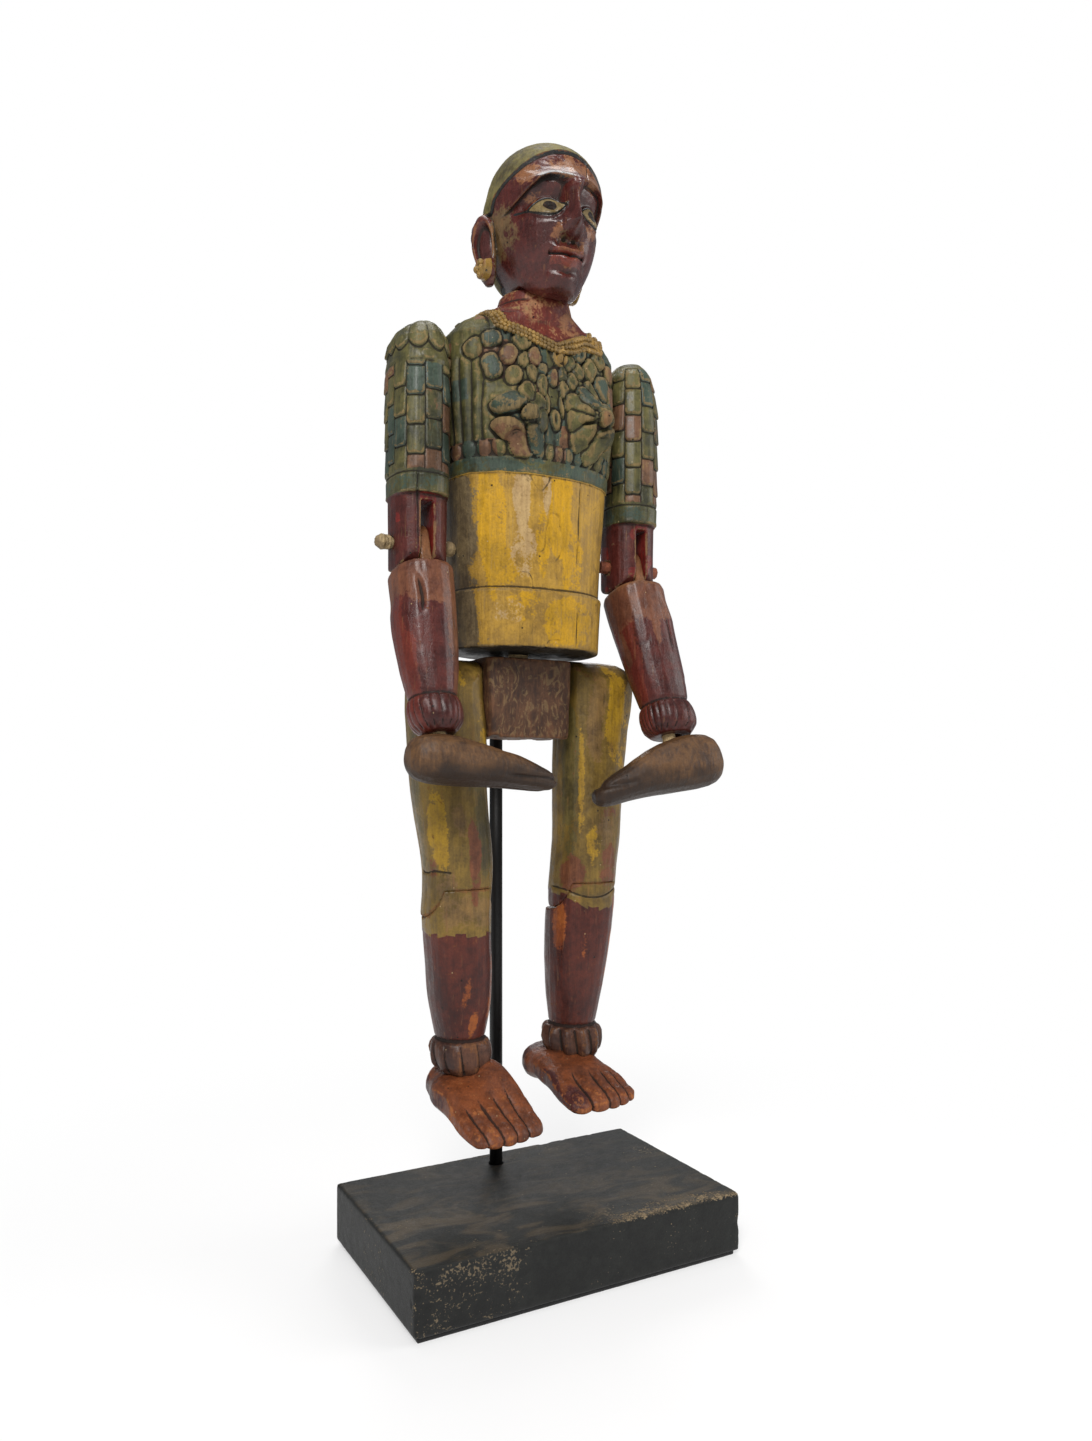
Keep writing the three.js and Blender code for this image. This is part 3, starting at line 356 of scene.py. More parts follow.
class Wire:
    """A number from a node, which can be used in sums and products."""

    def __init__(self, paint, socket):
        self.paint = paint
        self.socket = socket

    def _with(self, operation, first, second):
        return self.paint.node("Math", {"operation": operation}, [first, second])

    def __add__(self, other):
        return self._with("ADD", self, other)

    def __radd__(self, other):
        return self._with("ADD", other, self)

    def __sub__(self, other):
        return self._with("SUBTRACT", self, other)

    def __rsub__(self, other):
        return self._with("SUBTRACT", other, self)

    def __mul__(self, other):
        return self._with("MULTIPLY", self, other)

    def __rmul__(self, other):
        return self._with("MULTIPLY", other, self)

    def between(self, low, high):
        """0 below low, 1 above high, and smooth between them."""
        settings = {"interpolation_type": "SMOOTHSTEP", "clamp": True}
        return self.paint.node("MapRange", settings, {"Value": self, "From Min": low, "From Max": high})


class Paint:
    """One material, built from nodes."""

    def __init__(self, name):
        self.material = bpy.data.materials.new(name)
        self.material.use_nodes = True
        self.tree = self.material.node_tree
        self.shader = self.tree.nodes["Principled BSDF"]
        self.place = self.tree.nodes.new("ShaderNodeTexCoord").outputs["Object"]

    def connect(self, value, socket):
        if isinstance(value, Wire):
            self.tree.links.new(value.socket, socket)
        elif isinstance(value, bpy.types.NodeSocket):
            self.tree.links.new(value, socket)
        else:
            socket.default_value = value

    def node(self, kind, settings, inputs, output=0):
        made = self.tree.nodes.new("ShaderNode" + kind)
        for key, value in settings.items():
            setattr(made, key, value)
        pairs = inputs.items() if isinstance(inputs, dict) else enumerate(inputs)
        for key, value in pairs:
            self.connect(value, made.inputs[key])
        return Wire(self, made.outputs[output])

    def attribute(self, name):
        return self.node("Attribute", {"attribute_name": name}, {}, "Fac")

    def stretched(self, stretch):
        return self.node("Mapping", {}, {"Vector": self.place, "Scale": stretch}).socket

    def noise(self, size, detail=4.0, stretch=(1, 1, 1), twist=0.0):
        """Noise with features of about that size in mm."""
        inputs = {
            "Vector": self.stretched(stretch),
            "Scale": 1 / (size * MM),
            "Detail": detail,
            "Roughness": 0.6,
            "Distortion": twist,
        }
        return self.node("TexNoise", {}, inputs)

    def spots(self, size, radius, share, shift=0.0):
        """Round spots of a radius in mm, on about that share of cells of that size in mm."""
        moved = self.node("Mapping", {}, {"Vector": self.place, "Location": (shift, shift, shift)}).socket
        cells = self.tree.nodes.new("ShaderNodeTexVoronoi")
        self.connect(moved, cells.inputs["Vector"])
        self.connect(1 / (size * MM), cells.inputs["Scale"])
        edge = radius / size
        near = 1 - Wire(self, cells.outputs["Distance"]).between(edge * 0.6, edge)
        split = self.node("SeparateColor", {}, {"Color": cells.outputs["Color"]})
        return near * split.between(1 - share, 1 - share + 0.02)

    def mix(self, share, first, second):
        made = self.tree.nodes.new("ShaderNodeMix")
        made.data_type = "RGBA"
        self.connect(share, made.inputs["Factor"])
        for value, index in ((first, 6), (second, 7)):
            if isinstance(value, (Wire, bpy.types.NodeSocket)):
                self.connect(value, made.inputs[index])
            else:
                made.inputs[index].default_value = (*value[:3], 1)
        return Wire(self, made.outputs[2])

    def scaled(self, colour, factor):
        """A colour made lighter or darker by a number."""
        return self.node("VectorMath", {"operation": "SCALE"}, {"Vector": colour, "Scale": factor})

    def set(self, name, value):
        self.connect(value, self.shader.inputs[name])

    def relief(self, height, depth):
        """Bump from a height that runs from 0 to 1 over depth in mm."""
        inputs = {"Height": height, "Distance": depth * MM, "Strength": 1.0}
        self.set("Normal", self.node("Bump", {}, inputs, "Normal"))


def tone(name):
    return tuple(getattr(bpy.context.scene.puppet_colours, name))


def darker(colour, factor):
    return tuple(c * factor for c in colour)


def as_colour(value):
    """A colour from its name in COLOURS, from its hex value, or as it is."""
    if not isinstance(value, str):
        return value
    return tone(value) if value in COLOURS else linear(value)


# Near-black for dirt in hollows, worm holes and dark paint lines, and for the painted shade on the torso's
# underside.
DIRT_AND_SHADE = (0.010, 0.008, 0.006)
SHADED = 0.45


def old_paint(name, ground, zones, bare, wear=0.1, gloss=0.45, coat=0.0, grime=0.85, matt=None):
    """Old paint on carved wood.

    ground is a light and a dark colour. zones lists (mask, light, dark, ragged): each later zone covers the
    ones before where its mask is high, with an edge as ragged as stated. A zone with no dark colour takes the
    light one shaded. bare shows where paint is lost, and the mask named by matt marks what has no gloss.
    """
    bare = as_colour(bare)
    paint = Paint(name)
    broad = paint.noise(42, 5)
    middle = paint.noise(10, 6, twist=0.3)
    fine = paint.noise(2.0, 5)
    grain = paint.noise(2.6, 6, stretch=(1, 1, 0.08))
    hollow = paint.attribute("hollow")
    shade = (broad * 0.5 + middle * 0.35 + grain * 0.15).between(0.38, 0.62)
    light, dark = (as_colour(value) for value in ground)
    colour = paint.mix(shade, dark, light)
    for mask, light, dark, ragged in zones:
        light = as_colour(light)
        dark = as_colour(dark) if dark else darker(light, SHADED)
        own = paint.mix(shade, dark, light)
        edge = paint.attribute(mask) + (middle - 0.5) * ragged + (fine - 0.5) * (ragged * 0.6)
        colour = paint.mix(edge.between(0.38, 0.62), colour, own)
    colour = paint.scaled(colour, fine * 0.9 + grain * 0.5 + 0.32)
    proud = 0.5 - hollow
    loss = proud * 1.5 + (middle - 0.5) * 1.3 + (fine - 0.5) * 0.9 + (broad - 0.5) * 1.0 + wear
    lost = loss.between(0.34, 0.54)
    wood = paint.mix(grain.between(0.35, 0.65), darker(bare, 0.55), bare)
    colour = paint.mix(lost * 0.7, colour, wood)
    scratch = paint.noise(1.7, 3, stretch=(1, 0.6, 0.06), twist=0.5).between(0.62, 0.68)
    colour = paint.mix(scratch * 0.3, colour, bare)
    specks = paint.spots(8, 0.7, 0.25, 0.013)
    colour = paint.mix(specks * 0.75, colour, tone("pale"))
    dirt = ((hollow - 0.5) * 1.5 + (fine - 0.5) * 0.5 + (broad - 0.5) * 0.3).between(0.06, 0.36)
    colour = paint.mix(dirt * grime, colour, DIRT_AND_SHADE)
    pores = paint.spots(13, 0.95, 0.42)
    colour = paint.mix(pores * 0.95, colour, DIRT_AND_SHADE)
    paint.set("Base Color", colour)
    rough = fine * 0.35 + middle * 0.3 + lost * 0.2 + dirt * 0.25 + (gloss - 0.32)
    if matt:
        rough = rough + paint.attribute(matt) * 0.25
    paint.set("Roughness", rough.between(0.0, 1.0))
    paint.shader.inputs["Specular IOR Level"].default_value = 0.28
    if coat:
        shiny = (1 - lost) * (1 - dirt) * coat
        paint.set("Coat Weight", shiny * (1 - paint.attribute(matt)) if matt else shiny)
        paint.shader.inputs["Coat Roughness"].default_value = 0.28
    paint.relief(middle * 0.5 + grain * 0.4 + fine * 0.3 - pores * 1.5 - lost * 0.25, 0.9)
    return paint.material


def rubbed_wood(name, light, dark, gloss=0.55, swirl=0.0):
    """Bare old wood, darker in its hollows, rubbed paler on its edges, and with painted shade where a piece
    marks its underside.
    """
    paint = Paint(name)
    broad = paint.noise(26, 5)
    grain = paint.noise(3.0, 7, stretch=(1, 1, 0.14), twist=0.5)
    curls = paint.noise(9.0, 7, stretch=(1, 1, 0.6), twist=2.2)
    fine = paint.noise(1.5, 5)
    hollow = paint.attribute("hollow")
    shade = (broad * 0.4 + grain * 0.35 + curls * 0.25).between(0.36, 0.62)
    colour = paint.mix(shade, dark, light)
    colour = paint.mix(curls.between(0.52, 0.6) * swirl, colour, tone("tan"))
    colour = paint.scaled(colour, fine * 0.9 + 0.55)
    pale = tuple(min(1, c * 2.0) for c in light)
    colour = paint.mix(((0.5 - hollow) * 1.2 + (grain - 0.5) * 0.7).between(0.08, 0.4) * 0.55, colour, pale)
    colour = paint.mix(((hollow - 0.5) * 1.1 + (fine - 0.5) * 0.4).between(0.06, 0.34) * 0.85, colour, DIRT_AND_SHADE)
    # Painted shade: where a piece marks its underside, the wood goes much darker, as the shadow under it.
    under = paint.attribute("under")
    colour = paint.mix(under * 0.85, colour, darker(dark, 0.35))
    pores = paint.spots(11, 0.8, 0.35)
    colour = paint.mix(pores * 0.9, colour, DIRT_AND_SHADE)
    paint.set("Base Color", colour)
    paint.set("Roughness", (fine * 0.3 + grain * 0.25 + (gloss - 0.27)).between(0.0, 1.0))
    paint.shader.inputs["Specular IOR Level"].default_value = 0.35
    paint.relief(grain * 0.6 + curls * 0.5 + fine * 0.3 - pores * 1.4, 0.9)
    return paint.material


def plinth_paint():
    """Black paint on the plinth, chipped to a tan ground on its front edges, with a painted sheen of light on
    its top that grows towards the front and left.
    """
    paint = Paint("black_plinth_paint")
    broad = paint.noise(60, 6)
    middle = paint.noise(9, 6)
    fine = paint.noise(1.5, 4)
    smear = paint.noise(24, 5, stretch=(0.45, 1, 1), twist=1.2)
    speckle = paint.noise(2.4, 3)
    edge = paint.attribute("edge")
    crackle = paint.attribute("crackle")
    # Painted sheen: the mask of the lit top face.
    wiped = paint.attribute("wiped")
    black = tone("black")
    shade = (middle * 0.6 + broad * 0.4).between(0.38, 0.62)
    colour = paint.mix(shade, darker(black, 0.45), darker(black, 1.35))
    # Painted sheen on the top face: a streaky grey-tan over the black, standing in for reflected light.
    sheen_grey = paint.mix(smear.between(0.42, 0.62), darker(black, 1.6), darker(tone("chip"), 0.24))
    colour = paint.mix(wiped * (broad * 0.7 + 0.45), colour, sheen_grey)
    chips = (edge * 0.55 + (middle - 0.5) * 1.5 + (fine - 0.5) * 1.2).between(0.5, 0.58)
    flakes = crackle * 0.3 + (speckle - 0.5) * 2.0 + (broad - 0.5) * 1.6 + (middle - 0.5) * 0.8
    flakes = flakes.between(0.42, 0.6)
    line = (edge * 0.5 + (fine - 0.5) * 1.2 + (broad - 0.5)).between(0.36, 0.6) * 0.45
    specks = paint.spots(13, 0.7, 0.2)
    bare = paint.mix(fine.between(0.35, 0.65), darker(tone("chip"), 0.45), tone("chip"))
    colour = paint.mix(line, colour, darker(tone("chip"), 0.5))
    colour = paint.mix(chips * 0.9, colour, bare)
    colour = paint.mix(flakes * 0.75, colour, darker(tone("chip"), 0.7))
    colour = paint.mix(specks * 0.6, colour, tone("chip"))
    paint.set("Base Color", colour)
    paint.set("Roughness", (0.36 + fine * 0.2 + chips * 0.25 + middle * 0.2).between(0.0, 1.0))
    paint.shader.inputs["Specular IOR Level"].default_value = 0.35
    paint.relief(middle * 0.4 + fine * 0.3 - chips * 0.7 - flakes * 0.4, 0.7)
    return paint.material


def black_steel():
    paint = Paint("black_rod_steel")
    fine = paint.noise(2, 4)
    streak = paint.noise(4, 5, stretch=(1, 1, 0.05))
    paint.set("Base Color", paint.mix(streak.between(0.4, 0.7), (0.004, 0.004, 0.004), (0.012, 0.011, 0.011)))
    paint.set("Roughness", (0.4 + fine * 0.25).between(0.0, 1.0))
    paint.shader.inputs["Metallic"].default_value = 0.2
    paint.relief(fine, 0.1)
    return paint.material


def gold_beads():
    paint = Paint("gold_ornament_paint")
    broad = paint.noise(10, 4)
    fine = paint.noise(1.4, 5)
    gold = tone("gold")
    colour = paint.mix(broad.between(0.38, 0.62), darker(gold, 0.45), gold)
    colour = paint.mix(fine.between(0.5, 0.66) * 0.75, colour, darker(gold, 0.16))
    paint.set("Base Color", colour)
    paint.set("Roughness", (0.35 + fine * 0.35).between(0.0, 1.0))
    paint.relief(fine, 0.6)
    return paint.material


SKIN_COATS = ("skin", "skin_dark")
MAKERS = {
    "torso": lambda: old_paint(
        "torso_paint",
        ("belly", "belly_dark"),
        [
            ("bright", "yellow", "yellow_dark", 1.8),
            ("rubbed", "a88c5e", "8a6e48", 1.8),
            ("grimy", "6c5c40", "43382a", 1.5),
            ("blouse", "blouse", "blouse_dark", 0.12),
            ("blue", "blouse_blue", None, 1.4),
            ("rosy", "blouse_brown", None, 1.4),
            ("skin", "skin_red", "skin", 0.1),
            ("mottled", "8c6142", "6b4229", 1.8),
            ("red", "7a1e17", "541410", 0.5),
            ("gold", "gold", None, 0.1),
            # Painted shade: faces that look down, under the hem, go dark olive to near-black, as the shadowed
            # underside.
            ("under", darker(tone("olive_dark"), 0.5), DIRT_AND_SHADE, 0.2),
        ],
        "tan",
        wear=0.08,
        gloss=0.5,
    ),
    "sleeve": lambda: old_paint(
        "sleeve_paint",
        SKIN_COATS,
        [
            ("red", "74211a", "4a1512", 0.8),
            ("blouse", "blouse", "blouse_dark", 0.1),
            ("blue", "blouse_blue", None, 1.3),
            ("rosy", "blouse_brown", None, 1.3),
        ],
        "tan",
        wear=0.06,
        gloss=0.46,
        coat=0.15,
    ),
    "head": lambda: old_paint(
        "head_paint",
        SKIN_COATS,
        [
            ("ochre", "ochre", "6d4227", 1.7),
            ("khaki", "624c31", "3e2f1c", 1.7),
            ("lips", "74301f", "4a1b16", 0.3),
            ("cup", "4a2420", "26100e", 0.6),
            ("hair", "hair", "hair_dark", 0.2),
            ("white", "94835c", "665637", 0.3),
            ("iris", "33281f", "1c1613", 0.05),
            ("gold", "gold", None, 0.2),
            ("line", "1b1e20", DIRT_AND_SHADE, 0.25),
        ],
        "ochre",
        wear=0.0,
        gloss=0.36,
        coat=0.35,
        grime=0.8,
        matt="hair",
    ),
    "forearm": lambda: old_paint(
        "forearm_paint",
        SKIN_COATS,
        [
            ("red", "skin_red", "skin", 1.0),
            ("brown", "70452f", "4f2d21", 1.1),
            ("tongue", "ochre", "brown", 0.4),
        ],
        "ochre",
        wear=0.0,
        gloss=0.42,
        coat=0.2,
    ),
    "leg": lambda: old_paint(
        "trouser_paint",
        ("7a6128", "554320"),
        [
            ("bright", "a07d1c", "7d6020", 1.8),
            ("rubbed", "7c6034", "57432a", 1.8),
            ("grimy", "5e5129", "3a321b", 1.6),
            ("brown", "73452a", "532f1e", 1.5),
            ("maroon", "maroon", "maroon_dark", 1.2),
            ("orange", "93501f", "6b3318", 1.0),
            ("anklet", "5a3a2a", "321d17", 0.3),
        ],
        "ochre",
        wear=0.03,
        gloss=0.45,
        coat=0.12,
    ),
    "foot": lambda: old_paint(
        "foot_paint",
        ("foot", "foot_dark"),
        [("dark", "4c2420", "2c1614", 1.0)],
        "a9683a",
        wear=0.08,
        gloss=0.48,
        coat=0.1,
    ),
    "pelvis": lambda: rubbed_wood("pelvis_wood", tone("brown"), tone("brown_dark"), swirl=0.35),
    "hand": lambda: rubbed_wood("hand_wood", linear("644629"), linear("38261a"), 0.5),
    "pin": lambda: rubbed_wood("pin_wood", linear("9a8560"), linear("63513a"), 0.6),
    "dowel": lambda: rubbed_wood("dowel_wood", linear("8a4e34"), linear("5a2e20"), 0.55),
    "plinth": plinth_paint,
    "steel": black_steel,
    "gold": gold_beads,
}
MATERIALS = {}


def material(name):
    """Each finish is made once, when a piece first asks for it."""
    if name not in MATERIALS:
        MATERIALS[name] = MAKERS[name]()
    return MATERIALS[name]


def dress(piece, finish, body, slot, *nodes):
    """Gives a piece its finish and the body it rides on, and hides the nodes that it stands for. The slot
    argument is not used.
    """
    piece.data.materials.clear()
    piece.data.materials.append(material(finish))
    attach(piece, body)
    if nodes:
        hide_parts(*nodes)
    return piece


def paint_node(node, finish):
    NODES[node].data.materials.clear()
    NODES[node].data.materials.append(material(finish))


def round_angle(points, x, y):
    """Angle round an upright axis: 0 faces the front and grows towards the figure's left."""
    return np.arctan2(points[:, 0] - x, -(points[:, 1] - y))


# Stand


def make_plinth():
    surface = Surface(fine_copy("base_block", "plinth", 1.6, 3))
    low, high = node_box("base_block")
    p = surface.points
    x, y, z = p.T
    to_side = np.stack([x - low[0], high[0] - x, y - low[1], high[1] - y]).min(0)
    to_top = high[2] - z
    to_front = y - low[1]
    top_edge = bump(to_top, 4) * bump(to_side, 5)
    corners = np.minimum(x - low[0], high[0] - x) + np.minimum(to_front, high[1] - y)
    near_corner = bump(corners, 10)
    front = ramp(-y, 60, 92)
    chipped_stretch = 0.25 + 0.75 * window(x, 20, 142, 14)
    surface.carve(-0.9 * top_edge * ramp(noise(p, 5, 3), 0.1, 0.7) * chipped_stretch)
    surface.carve(-1.2 * near_corner * ramp(noise(p, 4, 9), 0.0, 0.8))
    surface.carve(0.12 * layered(p, 9, 4))
    on_top = ramp(surface.normals[:, 2], 0.6, 0.9)
    on_front = ramp(-surface.normals[:, 1], 0.6, 0.9)
    left_end = 1 - ramp(x + 22 * noise(p, 22, 8) - 0.35 * to_top, low[0] + 30, low[0] + 95)
    surface.mask("edge", bump(to_top, 3.2) * front * chipped_stretch + 0.5 * near_corner)
    surface.mask("crackle", on_front * left_end)
    # Painted sheen: the top face is marked to go paler, more towards the front and left, as light falling on
    # it.
    surface.mask("wiped", on_top * (0.45 + 0.55 * ramp(-y + 0.3 * -x, -40, 60)))
    dress(surface.finish(), "plinth", "trunk", "stand_paint", "base_block")


def make_pad():
    surface = Surface(fine_copy("base_pad", "plinth_pad", 2.0, 2))
    surface.carve(0.1 * layered(surface.points, 5, 8))
    dress(surface.finish(), "steel", "trunk", "stand_pad", "base_pad")


def make_rod():
    low, high = node_box("support_rod")
    middle = (low + high) / 2
    radius = (high[0] - low[0]) / 2
    mesh = bpy.data.meshes.new("rod")
    work = bmesh.new()
    bmesh.ops.create_cone(
        work,
        cap_ends=True,
        segments=48,
        radius1=radius * MM,
        radius2=radius * MM,
        depth=(high[2] - low[2]) * MM,
    )
    bmesh.ops.translate(work, verts=work.verts, vec=Vector(middle) * MM)
    sides = [edge for edge in work.edges if abs(edge.verts[0].co.z - edge.verts[1].co.z) < 1e-7]
    bmesh.ops.bevel(work, geom=sides, offset=0.4 * MM, segments=2, affect="EDGES")
    work.to_mesh(mesh)
    work.free()
    mesh.shade_smooth()
    dress(new_object("rod", mesh), "steel", "trunk", "rod_steel", "support_rod")


# Trunk

NECK = joint_place("neck_turn")
TORSO_X = NECK[0]
TORSO_Y = NECK[1] + 11
TORSO_GIRTH = 68
HEM_Z = 572
BLOUSE_Z = 668
DROPS_Z = 681
NECKLINE_TIP_Z = 783
NECKLINE_RADIUS = 46
NECKLINE_RAY_Z = 775
NECKLINE_TOP_Z = 798
NECKLINE_SLOPE = {-1: 0.28, 1: 0.5}
NECKLINE_BAND = 9.5
NECKLINE_BAND_LEFT = 15
NECKLINE_TIP_X = 5
BREASTS = {-1: (-33, 711), 1: (36, 717)}
BEAD_SPACING = 1.75
BEAD_SIZES = (0.82, 1.08)
BEAD_ROWS = (0.22, 0.56, 0.9)
ROW_POINTS = 240
DOT_STEP = 6.5
PENDANT = (NECK[0] + 7, 770)
PLEATS_TOP_Z = 764

# Carved leaves of the blouse's near half: turn in degrees, height, half width, half height, lean, raise
SHOULDER_LEAVES = [
    (-44, 767, 8, 10, 0, 1.0),
    (-55, 755, 8, 12, 5, 1.0),
    (-40, 748, 8, 9, 0, 1.0),
    (-66, 771, 7, 9, 0, 0.8),
    (-55, 779, 8, 7, 0, 0.8),
    (-33, 779, 10, 7, -20, 0.8),
    (-31, 763, 7, 8, 15, 0.8),
    (-20, 767, 8, 8, -25, 0.8),
    (-22, 752, 8, 7, -30, 0.8),
    (-12, 757, 6, 8, -20, 0.7),
    (-12, 743, 7, 9, 12, 0.9),
    (-1, 752, 6, 8, 0, 0.6),
    (8, 727, 3, 10, 0, 0.8),
]
BREAST_PETALS = [
    (-16, 9, 15, 9, 12, 1.4),
    (-15, -12, 16, 9, -14, 1.4),
    (-7, -24, 10, 11, 20, 1.2),
    (9, -16, 9, 12, -20, 1.1),
    (12, 14, 9, 11, 35, 1.1),
    (-1, 22, 8, 11, -4, 1.0),
    (15, -1, 7, 9, 0, 1.0),
]


def neckline_share(points):
    """How far below the blouse's upper edge points are: 0 on the edge, 1 at the foot of its band.

    The edge goes round the neck and dips to a point in front, and its band is wider on the left.
    """
    x, y, z = points.T
    away = x - NECK[0] - NECKLINE_TIP_X
    slope = np.where(away < 0, NECKLINE_SLOPE[-1], NECKLINE_SLOPE[1])
    edge = np.minimum(NECKLINE_TIP_Z + slope * np.abs(away), NECKLINE_TOP_Z)
    edge = np.where(y < NECK[1], edge, NECKLINE_TOP_Z)
    below = np.maximum(edge - z, np.hypot(x - NECK[0], y - NECK[1]) - NECKLINE_RADIUS)
    return below / (NECKLINE_BAND + (NECKLINE_BAND_LEFT - NECKLINE_BAND) * ramp(away, 0, 20))


class Relief:
    """Carved leaves laid over a surface, each with a dome, a dark outline and a random shade."""

    def __init__(self, across, up):
        self.across = across
        self.up = up
        self.height = np.zeros(len(up))
        self.covered = np.zeros(len(up))
        self.shade = np.full(len(up), 0.5)

    def leaf(self, place, sizes, lean, raised, shade):
        away = turned(self.across, self.up, place, sizes, lean)
        inside = 1 - ramp(away, 0.92, 1.02)
        own = raised * (0.45 + 0.75 * dome(np.minimum(away, 1)))
        groove = -0.55 * raised * bump((away - 1.06) * min(sizes), 1.3)
        self.height = self.height * (1 - inside) + own * inside + groove * (1 - inside)
        self.covered = np.maximum(self.covered, inside)
        self.shade = self.shade * (1 - inside) + shade * inside


def back_leaves(around, up, depth):
    """Rows of overlapping leaves for the sides and the back of the blouse."""
    wide, tall = 15.0, 17.0
    row = np.floor(up / tall)
    shift = np.where(np.mod(row, 2) == 0, 0.0, 0.5)
    column = around / wide + shift
    across = 2 * (np.mod(column, 1) - 0.5)
    rise = np.mod(up / tall, 1)
    away = np.hypot(across, np.clip((0.45 - rise) / 0.45, 0, 1))
    inside = 1 - ramp(away, 0.85, 1.0)
    tip = 1 - 0.6 * rise
    shade = lattice(np.stack([np.floor(column), row, row * 0], -1), 3)
    return depth * (inside * tip * (0.5 + 0.5 * dome(across)) - 0.25), shade


def carve_torso(surface):
    p = surface.points
    x, y, z = p.T
    angle = round_angle(p, TORSO_X, TORSO_Y)
    degrees = np.degrees(angle)
    around = angle * TORSO_GIRTH
    rough = layered(p * ALONG_GRAIN, 16, 9)
    depth = carving().leaf_depth
    share = neckline_share(p)
    skin = 1 - ramp(share, -0.08, 0.02)
    band = window(share, 0, 1, 0.07)
    blouse = ramp(z + 0.8 * noise(p, 12, 2), BLOUSE_Z - 0.8, BLOUSE_Z + 0.8) * (1 - skin)

    relief = Relief(around + 2.4 * noise(p, 10, 61), z + 2.4 * noise(p, 10, 62))
    leaves, shade = back_leaves(around, z + 3, depth)
    on_front = ramp(-surface.normals[:, 1], -0.25, 0.05)
    pleats = window(np.abs(degrees), 58, 96, 4) * window(z, DROPS_Z, PLEATS_TOP_Z, 4)
    pleat_wave = np.abs(np.sin(np.abs(around) * math.pi / 9 + 0.5 * noise(p * ALONG_GRAIN, 20, 4)))
    relief.height = leaves * (1 - on_front) * (1 - pleats) + pleats * depth * (pleat_wave - 0.35)
    relief.shade = shade
    chest = np.stack([around, z, around * 0], -1)
    relief.height += on_front * (1 - pleats) * 0.5 * depth * layered(chest, 12, 21)
    for side in (-1, 1):
        for i, (turn, height, half_width, half_height, lean, raised) in enumerate(SHOULDER_LEAVES):
            place = (math.radians(-side * turn) * TORSO_GIRTH, height)
            relief.leaf(place, (half_width, half_height), -side * lean, raised * depth, lattice(
                np.array([i, side, 1]), 5))
        centre = BREASTS[side]
        for i, (dx, dz, half_width, half_height, lean, raised) in enumerate(BREAST_PETALS):
            place = (centre[0] - side * dx, centre[1] + dz)
            relief.leaf(place, (half_width, half_height), -side * lean, raised * depth, lattice(
                np.array([i, side, 2]), 6))
        relief.leaf(centre, (5.5, 5.5), 0, 1.7 * depth, 0.5)
    ring = turned(around, z, (0, BREASTS[1][1] - 2), (6.5, 9), 0)
    relief.leaf((0, BREASTS[1][1] - 2), (6.5, 9), 0, 1.1 * depth, 0.5)
    relief.height -= 0.9 * depth * bump(ring, 0.4)
    drop_width = 13.0
    drop = 2 * (np.mod(around / drop_width, 1) - 0.5)
    drop_away = np.hypot(drop, (z - DROPS_Z - 6) / 8)
    drops = window(z, DROPS_Z - 3, DROPS_Z + 12, 1)
    drops = drops * (1 - ramp(drop_away, 0.85, 1.0)) * (1 - relief.covered)
    in_drops = (z < DROPS_Z + 12) & (relief.covered < 0.5)
    relief.height = np.where(in_drops, depth * (1.1 * drops * dome(drop_away) - 0.2), relief.height)
    in_relief = ramp(z, DROPS_Z - 2, DROPS_Z) * (1 - skin) * (1 - band)
    surface.carve(blouse * in_relief * relief.height)
    surface.carve(blouse * (1 - in_relief) * (1 - band))
    surface.carve(band)
    dot_steps = np.abs(np.mod(x / DOT_STEP, 1) - 0.5) * DOT_STEP
    dots = bump(np.hypot(dot_steps, (share - 1.15) * NECKLINE_BAND), 1.3) * (y < NECK[1])
    surface.carve(-1.8 * dots)
    pendant = turned(x, z, PENDANT, (7, 8), 0)
    front = y < -15
    surface.carve(front * (1 - ramp(pendant, 0.9, 1.0)) * (1.5 + 2.2 * dome(pendant)))
    surface.carve(front * -1.2 * bump((pendant - 0.62) * 8, 0.9))

    surface.shove(-RIGHT_TO_LEFT, 4.5 * window(z, 807, 816, 2) * ramp(NECK[0] - x, 5, 25))
    surface.carve(0.4 * bump(z - HEM_Z + 2, 2) - 0.8 * bump(z - HEM_Z - 0.8, 0.9))
    belly = 1 - ramp(z, BLOUSE_Z - 3, BLOUSE_Z)
    surface.carve(belly * 0.6 * layered(p * ALONG_GRAIN, 18, 7))
    scoops = np.abs(noise(p * np.array([1, 1, 0.7]), 13, 14))
    surface.carve(-belly * 0.5 * bump(scoops, 0.1) * window(degrees, -35, 12, 6))
    crack = bump(degrees - 31 - 1.2 * noise(p * ALONG_GRAIN, 16, 6), 0.5) * belly
    surface.carve(-crack * ramp(noise(p, 26, 41), -0.5, 0.1))

    surface.mask("blouse", blouse)
    surface.mask("skin", skin)
    surface.mask("mottled", skin * (0.45 + 0.3 * np.clip(noise(p, 16, 63), -1, 1)))
    surface.mask("gold", np.maximum(band, front * (1 - ramp(pendant, 0.9, 1.0))))
    surface.mask("blue", blouse * np.maximum(0.8 * ramp(relief.shade, 0.66, 0.74), 0.55 * (1 - in_relief)))
    surface.mask("rosy", blouse * 0.75 * (1 - ramp(relief.shade, 0.16, 0.24)) * in_relief)
